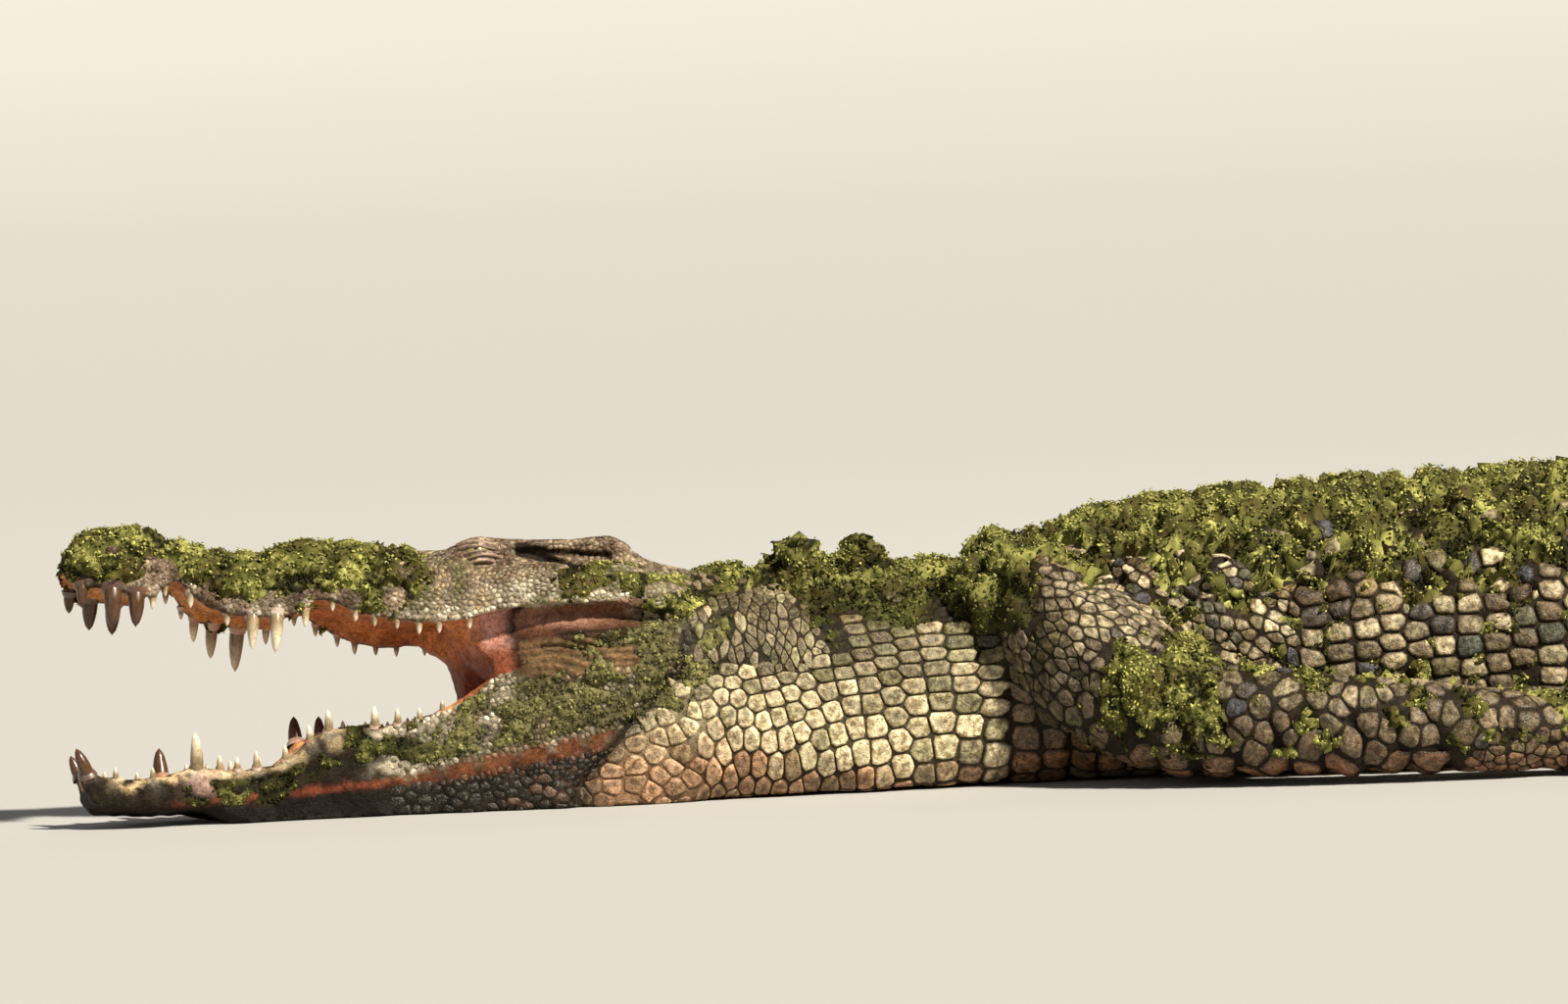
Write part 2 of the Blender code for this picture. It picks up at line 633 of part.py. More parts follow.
# Joints of each limb from inside the body to the wrist or ankle: x, y, z, half width, half depth
FORE_LEFT = [
    (-0.490, -0.070, 0.150, 0.046, 0.052),
    (-0.450, -0.124, 0.182, 0.060, 0.072),
    (-0.385, -0.186, 0.134, 0.062, 0.080),
    (-0.295, -0.243, 0.076, 0.056, 0.068),
    (-0.200, -0.280, 0.064, 0.050, 0.058),
    (-0.100, -0.302, 0.058, 0.047, 0.053),
    (0.000, -0.308, 0.051, 0.045, 0.047),
    (0.100, -0.298, 0.042, 0.040, 0.038),
]
FORE_RIGHT = [
    (-0.490, 0.070, 0.150, 0.046, 0.052),
    (-0.450, 0.124, 0.182, 0.060, 0.072),
    (-0.390, 0.188, 0.134, 0.062, 0.080),
    (-0.305, 0.250, 0.075, 0.056, 0.067),
    (-0.220, 0.298, 0.063, 0.050, 0.057),
    (-0.130, 0.330, 0.056, 0.047, 0.051),
    (-0.040, 0.348, 0.048, 0.045, 0.044),
    (0.050, 0.354, 0.039, 0.040, 0.035),
]
HIND_LEFT = [
    (0.505, -0.020, 0.125, 0.055, 0.065),
    (0.490, -0.085, 0.140, 0.075, 0.080),
    (0.440, -0.185, 0.135, 0.082, 0.088),
    (0.360, -0.290, 0.108, 0.068, 0.078),
    (0.315, -0.362, 0.085, 0.054, 0.062),
    (0.375, -0.405, 0.062, 0.048, 0.054),
    (0.450, -0.418, 0.046, 0.042, 0.044),
    (0.520, -0.425, 0.033, 0.036, 0.034),
]
HIND_RIGHT = [(x + 0.03, -y + 0.01, z, w, d) for x, y, z, w, d in HIND_LEFT]
JOINT_SHARE = 0.623  # elbow or knee
PALM_LENGTH = {"hand": 0.070, "foot": 0.105}
HAND_DIGITS = [(-48, 0.052), (-24, 0.074), (0, 0.082), (22, 0.072), (44, 0.052)]
FOOT_DIGITS = [(-26, 0.082), (-8, 0.108), (10, 0.116), (28, 0.096)]
CLAWED = 3  # the inner digits that carry claws
CLAW_LENGTH = {"hand": 0.024, "foot": 0.030}


def digit_points(wrist, angle, reach, length, radius):
    """Joints of a digit: it leaves the palm, arches a little and comes down on its tip."""
    out = Vector((math.cos(angle), math.sin(angle), 0))
    start = wrist + out * reach
    made = []
    for share, height, width in ((-0.25, 0.018, 1.15), (0.15, 0.020, 1.1), (0.6, 0.016, 1.0), (1.0, 0.009, 0.72)):
        spot = start + out * length * share
        made.append((spot.x, spot.y, height, radius * width, radius * width * 0.9))
    return made, out


def build_extremity(name, limb, kind, turn, inner):
    """A hand or foot, spread flat from the limb's end. turn is where its middle points, and inner is +1 where
    the first digit is on the anticlockwise side."""
    x, y, z, width, depth = limb[-1]
    wrist = Vector((x, y, 0))
    middle = math.radians(turn)
    out = Vector((math.cos(middle), math.sin(middle), 0))
    palm_length = PALM_LENGTH[kind]
    digits = HAND_DIGITS if kind == "hand" else FOOT_DIGITS
    joints = []
    for share, wide, deep in ((0.0, 0.90, 0.90), (0.3, 1.10, 0.75), (0.7, 1.30, 0.56), (1.05, 1.15, 0.40)):
        spot = wrist + out * palm_length * share
        high = depth * deep
        joints.append((spot.x, spot.y, high - 0.004, width * wide, high))
    palm = limb_tube(name, joints, 0.0, 1.0, 4, PALM_POINTS)
    tubes = []
    claws = []
    for number, (angle, length) in enumerate(digits):
        bearing = middle - inner * math.radians(angle)
        reach = palm_length * (0.86 if abs(angle) < 40 else 0.70)
        points, along = digit_points(wrist, bearing, reach, length, 0.0145 if kind == "hand" else 0.017)
        tubes.append(limb_tube("digit", points, 0.0, 1.0, 3, SMALL_POINTS, HELPERS))
        if number < CLAWED:
            claws.append((number + 1, Vector(points[-1][:3]), along, points[-1][3]))
    combine(palm, tubes, "UNION")
    for number, tip, along, radius in claws:
        claw = build_claw(f"{name}_claw_{number}", tip, along, radius, CLAW_LENGTH[kind])
        combine(claw, [swollen(palm, PART_GAP, "cut_by_digit")], "DIFFERENCE")


def build_claw(name, tip, along, radius, length):
    """A curved claw that starts just off the end of its digit."""
    points = []
    for share, drop, width in ((0.0, 0.0, 0.62), (0.45, 0.0, 0.48), (1.0, 0.005, 0.12)):
        spot = tip + along * (length * share - 0.002)
        points.append((spot.x, spot.y, max(tip.z - drop, 0.003), radius * width, radius * width))
    return limb_tube(name, points, 0.0, 1.0, 3, SMALL_POINTS, look=CLAW)


LIMBS = (
    ("front_left", FORE_LEFT, ("upper_arm", "forearm", "hand"), -6, 1),
    ("front_right", FORE_RIGHT, ("upper_arm", "forearm", "hand"), 14, -1),
    ("hind_left", HIND_LEFT, ("thigh", "shank", "foot"), -62, -1),
    ("hind_right", HIND_RIGHT, ("thigh", "shank", "foot"), 50, 1),
)


def build_limbs(trunk, neck):
    """Each limb is cut by the body that it leaves, so that they meet with no overlap."""
    for prefix, joints, (first, second, last), turn, inner in LIMBS:
        gap = PART_GAP / 0.60
        upper = limb_tube(f"{prefix}_{first}", joints, 0.0, JOINT_SHARE - gap / 2, 7)
        lower = limb_tube(f"{prefix}_{second}", joints, JOINT_SHARE + gap / 2, 1.0, 5)
        build_extremity(f"{prefix}_{last}", joints, "hand" if last == "hand" else "foot", turn, inner)
        end = bpy.data.objects[f"{prefix}_{last}"]
        combine(lower, [swollen(upper, PART_GAP, "cut_by_upper")], "DIFFERENCE")
        combine(end, [swollen(lower, PART_GAP, "cut_by_lower")], "DIFFERENCE")
        for limb in (upper, lower, end):
            cutters = [swollen(trunk, PART_GAP, "cut_by_trunk")]
            if limb is upper and first == "upper_arm":
                cutters.append(swollen(neck, PART_GAP, "cut_by_neck"))
            combine(limb, cutters, "DIFFERENCE")


def main():
    clear_scene()
    snout = build_upper_jaw()
    skull = build_skull()
    build_eyes()
    jaw = build_lower_jaw()
    build_tongue(jaw)
    build_mouth_corner([snout, skull, jaw])
    neck = build_neck()
    trunk = build_trunk()
    build_tail()
    build_limbs(trunk, neck)


main()
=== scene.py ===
# %% [markdown]
# # A large crocodile, resting with its mouth open
# The frame holds plain solids for the animal's parts: jaws, neck, trunk, tail, legs and claws. This script
# dresses them. One unbroken skin takes the place of the solids of flesh. Over it lie the scales, thousands of
# small domed plates that are keeled on back and tail, and the mat of water weed that the animal has brought out
# with it. Teeth, gums, tongue, eyes, lids and claws are pieces of their own.
# The frame is loaded first.

# %% The frame
import math

import bpy
import numpy as np
from mathutils import Matrix, Vector, kdtree
from mathutils.bvhtree import BVHTree


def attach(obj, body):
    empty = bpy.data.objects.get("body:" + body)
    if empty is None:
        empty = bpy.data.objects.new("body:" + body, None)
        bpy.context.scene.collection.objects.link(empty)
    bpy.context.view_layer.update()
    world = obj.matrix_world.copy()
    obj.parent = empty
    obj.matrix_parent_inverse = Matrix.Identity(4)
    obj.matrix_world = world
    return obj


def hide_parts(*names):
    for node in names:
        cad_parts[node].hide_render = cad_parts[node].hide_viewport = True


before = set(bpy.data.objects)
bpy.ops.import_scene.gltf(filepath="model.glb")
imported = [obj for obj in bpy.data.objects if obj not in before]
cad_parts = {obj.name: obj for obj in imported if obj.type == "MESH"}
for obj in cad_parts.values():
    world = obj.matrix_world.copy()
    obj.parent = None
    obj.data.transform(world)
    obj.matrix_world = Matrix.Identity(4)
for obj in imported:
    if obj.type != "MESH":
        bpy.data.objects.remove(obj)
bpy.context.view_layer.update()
random = np.random.default_rng(11)
bpy.ops.object.select_all(action="DESELECT")
print("nodes in the frame:", len(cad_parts))

# %% [markdown]
# ## Camera, floor and light
# The animal is seen from its left, from far off and only a little above the ground, through a long lens, so
# its length is hardly foreshortened. The floor is a wide pale dish, whose rim curves up far away on every side,
# so it fills any view. The main light comes from high at the front right, as the sun's did, through a wide
# soft source, with weak lamps opposite and behind and a pale sky to lift the shadows.

# %% Camera
CAMERA_DISTANCE = 9.0
CAMERA_LENS = 202.5
CAMERA_TARGET = Vector((-0.683, -0.25, 0.307))
CAMERA_RISE = math.radians(2.7)
CAMERA_ROLL = math.radians(-2.35)

bpy.ops.object.camera_add()
camera = bpy.context.object
camera.data.lens = CAMERA_LENS
camera.data.sensor_width = 36
camera.data.clip_end = 100
away = Vector((0, -math.cos(CAMERA_RISE), math.sin(CAMERA_RISE)))
aim = (-away).to_track_quat("-Z", "Y").to_matrix().to_4x4()
stand = Matrix.Translation(CAMERA_TARGET + away * CAMERA_DISTANCE)
camera.matrix_world = stand @ aim @ Matrix.Rotation(CAMERA_ROLL, 4, "Z")
bpy.context.scene.camera = camera
print("camera height:", round(camera.location.z, 3))


# %% Floor, backdrop and lamps
def plain_material(name, colour, roughness):
    material = bpy.data.materials.new(name)
    material.use_nodes = True
    shader = material.node_tree.nodes["Principled BSDF"]
    shader.inputs["Base Color"].default_value = (*colour, 1)
    shader.inputs["Roughness"].default_value = roughness
    return material


FLOOR_SIDES = 96
# radius and height of the rings of the floor
FLOOR_RINGS = [(4.0, 0.0), (60.0, 0.0), (72.0, 1.2), (81.0, 4.6), (87.0, 9.8), (90.0, 16.0)]

corners = [(0.0, 0.0, 0.0)]
for reach, height in FLOOR_RINGS:
    for i in range(FLOOR_SIDES):
        turn = i * 2 * math.pi / FLOOR_SIDES
        corners.append((reach * math.cos(turn), reach * math.sin(turn), height))
after = [(i + 1) % FLOOR_SIDES for i in range(FLOOR_SIDES)]
sheets = [(0, 1 + i, 1 + after[i]) for i in range(FLOOR_SIDES)]
for ring in range(len(FLOOR_RINGS) - 1):
    first, second = 1 + ring * FLOOR_SIDES, 1 + (ring + 1) * FLOOR_SIDES
    sheets += [(first + i, second + i, second + after[i], first + after[i]) for i in range(FLOOR_SIDES)]
floor_mesh = bpy.data.meshes.new("studio_floor")
floor_mesh.from_pydata(corners, [], sheets)
floor_mesh.shade_smooth()
floor = bpy.data.objects.new("studio_floor", floor_mesh)
bpy.context.collection.objects.link(floor)
floor.data.materials.append(plain_material("studio_paper", (0.42, 0.41, 0.39), 0.9))


def add_lamp(name, location, target, size, watts, colour):
    bpy.ops.object.light_add(type="AREA", location=location)
    lamp = bpy.context.object
    lamp.name = name
    lamp.data.shape = "DISK"
    lamp.data.size = size
    lamp.data.energy = watts
    lamp.data.color = colour
    lamp.rotation_euler = (Vector(target) - Vector(location)).to_track_quat("-Z", "Y").to_euler()


bpy.ops.object.light_add(type="SUN", location=(5.4, -6.2, 8.6))
key = bpy.context.object
key.name = "key_lamp"
key.data.energy = 7.4
key.data.color = (1.0, 0.94, 0.82)
key.data.angle = math.radians(4.5)
key.rotation_euler = (Vector((-0.4, -0.1, 0.1)) - key.location).to_track_quat("-Z", "Y").to_euler()
add_lamp("fill_lamp", (-4.5, -5.0, 2.2), (-0.4, 0, 0.1), 3.0, 34, (0.90, 0.94, 1.0))
add_lamp("back_lamp", (2.0, 4.6, 4.0), (0.2, 0, 0.1), 2.5, 40, (0.95, 0.97, 1.0))
world = bpy.context.scene.world or bpy.data.worlds.new("studio")
bpy.context.scene.world = world
world.use_nodes = True
sky = world.node_tree.nodes["Background"]
sky.inputs["Color"].default_value = (0.92, 0.95, 1.0, 1)
sky.inputs["Strength"].default_value = 0.14
bpy.context.scene.view_settings.view_transform = "Standard"

# %% [markdown]
# ## The plan of the body
# A crocodile is a tube that bends, so its shape is easiest to give along its own midline: s is the distance
# from the tip of the snout, v the distance from the midline (positive to the animal's right) and z the height.
# The curves below are the ones the solids were built from. place() takes body terms to the world, and
# locate() takes world points back, which every later step uses to know which part of the animal it is on.

# %% Smooth curves
TOTAL_LENGTH = 4.20
BELLY_ORIGIN = 1.45  # s of the belly point that is the origin
HEAD_END = 0.62
HEAD_ROLL = 8.0  # degrees: the left side of the head is the higher one
ROLL_PIVOT = 0.06
ROLL_LIFT = 0.004
MIDLINE_STEP = 0.005


def smooth_curve(stations):
    """A function through (place, value) stations that never overshoots them, for numbers or arrays."""
    xs, ys = (np.array(column, float) for column in zip(*stations))
    slopes = np.diff(ys) / np.diff(xs)
    tangents = np.zeros(len(xs))
    same = slopes[:-1] * slopes[1:] > 0
    tangents[1:-1][same] = 2 / (1 / slopes[:-1][same] + 1 / slopes[1:][same])
    tangents[0], tangents[-1] = slopes[0], slopes[-1]

    def value(x):
        x = np.clip(x, xs[0], xs[-1])
        i = np.clip(np.searchsorted(xs, x, side="right") - 1, 0, len(xs) - 2)
        h = xs[i + 1] - xs[i]
        t = (x - xs[i]) / h
        rise = ys[i] * (1 + 2 * t) * (1 - t) ** 2 + ys[i + 1] * t * t * (3 - 2 * t)
        return rise + h * t * (1 - t) * (tangents[i] * (1 - t) - tangents[i + 1] * t)

    return value


def bump(x, centre, width):
    """A smooth hill of height 1."""
    return np.exp(-(((x - centre) / width) ** 2))


def ramp(x, low, high):
    """0 below low, 1 above high and smooth between."""
    t = np.clip((x - low) / (high - low), 0.0, 1.0)
    return t * t * (3 - 2 * t)


def window(x, start, rise, fall, end):
    """1 between rise and fall, and 0 outside start and end."""
    return ramp(x, start, rise) * (1 - ramp(x, fall, end))


def unit(vectors):
    """The same directions with length 1."""
    return vectors / np.linalg.norm(vectors, axis=-1, keepdims=True)


def turns_round(count):
    """Equal steps round a circle, in radians."""
    return np.arange(count) * 2 * math.pi / count


def finder_of(spots):
    """A tree that finds which of the spots are near a place."""
    finder = kdtree.KDTree(len(spots))
    for i, spot in enumerate(spots.tolist()):
        finder.insert(spot, i)
    finder.balance()
    return finder


# %% The midline
heading = smooth_curve(
    [(0.0, 15), (0.62, 15), (0.80, 10), (1.02, 2.5), (1.15, 0), (2.05, 0)]
    + [(2.40, 6), (2.80, 13), (3.20, 8), (3.60, -10), (4.20, -34)]
)
steps_ahead = round(0.1 / MIDLINE_STEP)  # the line runs on past both tips
steps_in_all = round(TOTAL_LENGTH / MIDLINE_STEP) + 2 * steps_ahead
MIDLINE_S = (np.arange(steps_in_all + 1) - steps_ahead) * MIDLINE_STEP
walk_turn = np.radians(heading(MIDLINE_S[:-1] + MIDLINE_STEP / 2))
MIDLINE_X = np.concatenate([[0], np.cumsum(np.cos(walk_turn))]) * MIDLINE_STEP
MIDLINE_Y = np.concatenate([[0], np.cumsum(np.sin(walk_turn))]) * MIDLINE_STEP
origin_step = steps_ahead + round(BELLY_ORIGIN / MIDLINE_STEP)
MIDLINE_X -= MIDLINE_X[origin_step]
MIDLINE_Y -= MIDLINE_Y[origin_step]


def place(s, v, z):
    """World points of body points."""
    s, v, z = np.broadcast_arrays(np.asarray(s, float), v, z)
    turn = np.radians(heading(s))
    rolled = 1 - ramp(s, HEAD_END, 0.95)
    roll = np.radians(HEAD_ROLL) * rolled
    side = v * np.cos(roll) + (z - ROLL_PIVOT) * np.sin(roll)
    height = ROLL_PIVOT + (z - ROLL_PIVOT) * np.cos(roll) - v * np.sin(roll) + ROLL_LIFT * rolled
    x = np.interp(s, MIDLINE_S, MIDLINE_X) - side * np.sin(turn)
    y = np.interp(s, MIDLINE_S, MIDLINE_Y) + side * np.cos(turn)
    return np.stack([x, y, height], -1)


def locate(points):
    """Body terms (s, v, z) of world points: a step along the midline is repeated until it settles."""
    points = np.asarray(points, float)
    s = np.interp(points[:, 0], MIDLINE_X, MIDLINE_S)
    for _ in range(8):
        turn = np.radians(heading(s))
        across = points[:, 0] - np.interp(s, MIDLINE_S, MIDLINE_X)
        along = points[:, 1] - np.interp(s, MIDLINE_S, MIDLINE_Y)
        s = s + across * np.cos(turn) + along * np.sin(turn)
    turn = np.radians(heading(s))
    side = along * np.cos(turn) - across * np.sin(turn)
    rolled = 1 - ramp(s, HEAD_END, 0.95)
    roll = np.radians(HEAD_ROLL) * rolled
    high = points[:, 2] - ROLL_LIFT * rolled - ROLL_PIVOT
    v = side * np.cos(roll) - high * np.sin(roll)
    return s, v, ROLL_PIVOT + side * np.sin(roll) + high * np.cos(roll)


there = place(np.array([0.3, 1.5, 3.0]), 0.05, 0.1)
print("round trip error:", float(np.abs(np.stack(locate(there)) - [[0.3, 1.5, 3.0], [0.05] * 3, [0.1] * 3]).max()))

# %% Profiles of the head
snout_top = smooth_curve(
    [(0.0, 0.264), (0.018, 0.287), (0.04, 0.296), (0.07, 0.300), (0.10, 0.293), (0.13, 0.279)]
    + [(0.19, 0.264), (0.25, 0.274), (0.33, 0.267), (0.39, 0.261), (0.43, 0.259), (0.47, 0.260)]
    + [(0.565, 0.261), (0.585, 0.254), (0.600, 0.239), (0.62, 0.233)]
)
lip = smooth_curve(
    [(0.0, 0.252), (0.01, 0.242), (0.035, 0.2355), (0.065, 0.228), (0.085, 0.2245), (0.100, 0.2334)]
    + [(0.114, 0.2405), (0.125, 0.230), (0.145, 0.210), (0.175, 0.199), (0.210, 0.1952), (0.235, 0.1965)]
    + [(0.25, 0.208), (0.26, 0.2095), (0.29, 0.199), (0.33, 0.1855), (0.36, 0.181), (0.40, 0.1795)]
    + [(0.44, 0.1865), (0.48, 0.1896), (0.52, 0.188), (0.56, 0.182), (0.62, 0.164)]
)
upper_half_width = smooth_curve(
    [(0.0, 0.014), (0.006, 0.030), (0.02, 0.047), (0.055, 0.060), (0.085, 0.057), (0.114, 0.047)]
    + [(0.16, 0.067), (0.21, 0.078), (0.26, 0.075), (0.35, 0.089), (0.50, 0.130), (0.62, 0.153)]
)
jaw_rim = smooth_curve(
    [(0.004, 0.060), (0.016, 0.0525), (0.035, 0.047), (0.07, 0.0435), (0.09, 0.0462), (0.12, 0.0493)]
    + [(0.16, 0.0466), (0.20, 0.0488), (0.225, 0.0614), (0.25, 0.078), (0.28, 0.082), (0.34, 0.0823)]
    + [(0.37, 0.092), (0.40, 0.108), (0.44, 0.1305), (0.50, 0.1398), (0.62, 0.150)]
)
lower_half_width = smooth_curve(
    [(0.004, 0.010), (0.010, 0.022), (0.03, 0.038), (0.06, 0.047), (0.13, 0.053), (0.20, 0.057)]
    + [(0.30, 0.071), (0.40, 0.098), (0.50, 0.129), (0.62, 0.156)]
)
chin_line = smooth_curve(
    [(0.004, 0.046), (0.012, 0.023), (0.019, 0.014), (0.030, 0.009), (0.07, 0.006), (0.12, 0.004)]
    + [(0.20, -0.045), (0.62, -0.045)]
)
jaw_edge = smooth_curve([(0.004, 0.049), (0.02, 0.018), (0.06, 0.014), (0.20, 0.026), (0.42, 0.032), (0.62, 0.075)])
RIGHT_LIP_SAG = 0.011
RIGHT_RIM_DROP = 0.020
TABLE_HALF_WIDTH = 0.076  # the flat top of the braincase
TABLE_DROP = 0.024
PALATE_RISE = 0.008
EYE_AT = (0.425, 0.065, 0.250)
JAWS_PART = 0.165  # height between the upper jaw and the lower one
CHEEK_TOP = 0.378  # front edge of the mouth's corner at the palate
CHEEK_FOOT = 0.428  # and at the lower jaw


def lip_at(s, v):
    sag = RIGHT_LIP_SAG * ramp(s, 0.24, 0.30) * (1 - ramp(s, 0.42, 0.52))
    return lip(s) - sag * ramp(v / upper_half_width(s), 0.0, 1.0)


def rim_at(s, v):
    return jaw_rim(s) - RIGHT_RIM_DROP * bump(s, 0.415, 0.035) * ramp(v / lower_half_width(s), 0.0, 1.0)


def palate(s, v):
    """Height of the roof of the mouth."""
    across = np.minimum(np.abs(v) / upper_half_width(s), 1.0)
    return lip_at(s, v) + PALATE_RISE * (1 - across**4)


def mouth_floor(s, v):
    """Height inside the lower jaw: a shelf by the teeth and a shallow trough between."""
    half = lower_half_width(s)
    depth = 0.006 + 0.018 * ramp(s, 0.08, 0.30)
    across = np.minimum(np.abs(v) / (half - np.minimum(0.020, half / 2)), 1.0)
    return rim_at(s, v) - depth * (1 - across**4) - 0.003


# %% [markdown]
# Each cross-section of the head is a closed ring of a few points: the curve over the snout, which turns behind
# the eyes into a flat table with steep sides, the lip, and the roof of the mouth. rounded() runs a fine curve
# through such a ring, so that no facet is left.


# %% Rings of the jaws
def rounded(points, steps=6):
    """A closed ring with steps points for each given one, on a curve that never overshoots."""
    points = np.array([[float(v), float(z)] for v, z in points])
    wrapped = np.concatenate([points[-2:], points, points[:3]])
    at = np.concatenate([[0], np.cumsum(np.linalg.norm(np.diff(wrapped, axis=0), axis=1) + 1e-6)])
    fine = [np.linspace(at[i + 2], at[i + 3], steps, endpoint=False) for i in range(len(points))]
    fine = np.concatenate(fine)
    return np.stack([smooth_curve(zip(at, wrapped[:, k]))(fine) for k in (0, 1)], 1)


def upper_half(s, side):
    """One side of the upper ring, from the midline on top round to the palate beside its midline."""
    half, top = upper_half_width(s), snout_top(s)
    low = lip_at(s, side * half)
    snout = [(0.0, top)]
    for turn in np.radians((76, 62, 48, 34, 20, 9, 0)):
        snout.append((half * math.cos(turn) ** 0.80, low + (top - low) * math.sin(turn) ** 0.72))
    lid = bump(s, EYE_AT[0] + 0.004, 0.024)
    table = TABLE_HALF_WIDTH - 0.006 * lid
    skull = [(0.0, top - 0.004 * lid), (0.32 * table, top - 0.001), (0.70 * table, top + 0.001 + 0.010 * lid)]
    skull += [(table, top - 0.001 + 0.007 * lid), (table + 0.008, top - TABLE_DROP)]
    skull += [(table + 0.5 * (half - table), low + 0.62 * (top - low)), (half - 0.003, low + 0.032), (half, low)]
    share = ramp(s, 0.37, 0.44)
    points = [(side * (v + share * (w - v)), z + share * (y - z)) for (v, z), (w, y) in zip(snout, skull)]
    inner = side * 0.6 * half
    return points + [(side * (half - min(0.010, half / 3)), low + 0.001), (inner, palate(s, inner))]


def upper_ring(s):
    ring = rounded(upper_half(s, 1) + [(0.0, palate(s, 0.0))] + upper_half(s, -1)[:0:-1])
    return place(s, ring[:, 0], ring[:, 1])


def lower_half(s, side):
    """One side of the lower ring, from inside the mouth over the rim and down to the throat."""
    half, edge, under = lower_half_width(s), jaw_edge(s), chin_line(s)
    rim = rim_at(s, side * half)
    inside = half - min(0.020, half / 2)
    points = [
        (0.5 * inside, mouth_floor(s, side * 0.5 * inside)),
        (inside, mouth_floor(s, side * inside)),
        (half - min(0.010, 0.3 * half), rim - 0.001),
        (half - min(0.003, 0.1 * half), rim - 0.003),
        (half, rim - 0.25 * (rim - edge)),
        (half - 0.001, rim - 0.62 * (rim - edge)),
        (0.95 * half, edge),
        (0.88 * half, under + 0.25 * max(edge - under, 0.0)),
        (0.66 * half, under),
    ]
    return [(side * v, z) for v, z in points]


def lower_ring(s):
    ring = rounded([(0.0, mouth_floor(s, 0.0))] + lower_half(s, 1) + lower_half(s, -1)[::-1])
    return place(s, ring[:, 0], ring[:, 1])


def corner_ring(share):
    """A section of the flesh that closes the mouth behind the teeth, slanting from palate to lower jaw."""
    head_s = CHEEK_TOP + share * (HEAD_END - CHEEK_TOP)
    foot_s = CHEEK_FOOT + share * (HEAD_END - CHEEK_FOOT)
    top, low = upper_half_width(head_s) - 0.016, lower_half_width(foot_s) - 0.012
    bulge = ramp(share, 0.20, 0.50)
    rim = jaw_rim(foot_s) - mouth_floor(foot_s, -low) + 0.001
    half = [(0.0, 0.0, 0.0), (0.0, 0.55 * top, 0.0), (0.0, top, 0.0)]  # share of the way down, v and lift
    half += [(0.30, 0.5 * (top + low) - 0.018 + 0.010 * bulge, 0.0)]
    half += [(0.62, low - 0.004 + 0.016 * bulge, 0.0), (0.90, low + 0.008 * bulge, rim)]
    half += [(1.0, low, rim), (1.0, low - 0.012, 0.004), (1.0, 0.5 * low, 0.0)]
    ring = half + [(1.0, 0.0, 0.0)] + [(fall, -v, lift) for fall, v, lift in half[:0:-1]]
    fall, v, lift = (np.array(column) for column in zip(*ring))
    s = head_s + fall * (foot_s - head_s) + 0.012 * (1 - share) ** 3 * np.sin(math.pi * fall)
    s = s + 0.030 * (1 - share) ** 2 * (1 - np.minimum(np.abs(v) / top, 1.0) ** 2)
    z = palate(s, v) + fall * (mouth_floor(s, v) - palate(s, v)) + lift
    return place(s, v, z)


print("points round a section of the snout:", len(upper_ring(0.3)))

# %% [markdown]
# Neck, trunk and tail are one long tube with a flat belly. A limb is a tube too, through a few joints that
# each have a place, a half width and a half depth, and its hand or foot is a short flat palm with digits.

# %% Rings of the body
TRUNK_END = 2.06
ANNULUS = 0.056  # length of each ring of scutes of the tail
TAIL_START = 2.10
BELLY_SINK = 0.014
NECK_SINK = 0.022
NUCHAL_SCUTES = ((0.775, 0.036), (0.845, 0.038))

body_top = smooth_curve(
    [(0.62, 0.238), (0.66, 0.227), (0.72, 0.226), (0.95, 0.224), (0.975, 0.228), (1.06, 0.262), (1.16, 0.278)]
    + [(1.40, 0.291), (1.68, 0.298), (1.92, 0.282), (2.10, 0.245), (2.50, 0.196), (3.05, 0.132)]
    + [(3.60, 0.083), (4.20, 0.014)]
)
body_half_width = smooth_curve(
    [(0.62, 0.157), (0.74, 0.168), (0.95, 0.176), (1.10, 0.205), (1.40, 0.243), (1.68, 0.252)]
    + [(1.90, 0.215), (2.10, 0.150), (2.50, 0.108), (3.05, 0.066), (3.60, 0.038), (4.20, 0.007)]
)


def body_section(s, turn):
    """(v, z) of neck and trunk at a turn from the animal's right side over its back."""
    top, half = body_top(s), body_half_width(s)
    widest = 0.40 * top
    sink = BELLY_SINK + NECK_SINK * (1 - ramp(s, 0.80, 1.0))
    c, n = np.cos(turn), np.sin(turn)
    square = np.where(n > 0, 0.86, 0.70 - 0.14 * (1 - ramp(s, 0.90, 1.15)))
    v = half * np.sign(c) * np.abs(c) ** square
    reach = np.where(n > 0, top - widest, widest + sink)
    z = widest + reach * np.sign(n) * np.abs(n) ** square
    for scute_s, scute_v in NUCHAL_SCUTES:
        z = z + 0.042 * bump(s, scute_s, 0.020) * bump(np.abs(v), scute_v, 0.024) * (n > 0)
    return v, z


def tail_section(s, turn):
    """(v, z) of the tail, a deep oval."""
    top, half = body_top(s), body_half_width(s)
    c, n = np.cos(turn), np.sin(turn)
    widest = 0.40 * top
    v = 0.97 * half * np.sign(c) * np.abs(c) ** 0.80
    v = v * (1 - 0.10 * np.clip(n, 0, 1))
    z = widest + np.where(n > 0, top - widest, widest + 0.012) * np.sign(n) * np.abs(n) ** 0.86
    return v, z


def around_body(s, turn):
    """World points of the body's outside, from neck to tail."""
    s, turn = np.broadcast_arrays(np.asarray(s, float), turn)
    trunk_v, trunk_z = body_section(s, turn)
    tail_v, tail_z = tail_section(s, turn)
    share = ramp(s, TRUNK_END - 0.10, TRUNK_END + 0.25)
    points = place(s, trunk_v + share * (tail_v - trunk_v), trunk_z + share * (tail_z - trunk_z))
    points[..., 2] = np.maximum(points[..., 2], 0.0)
    return points


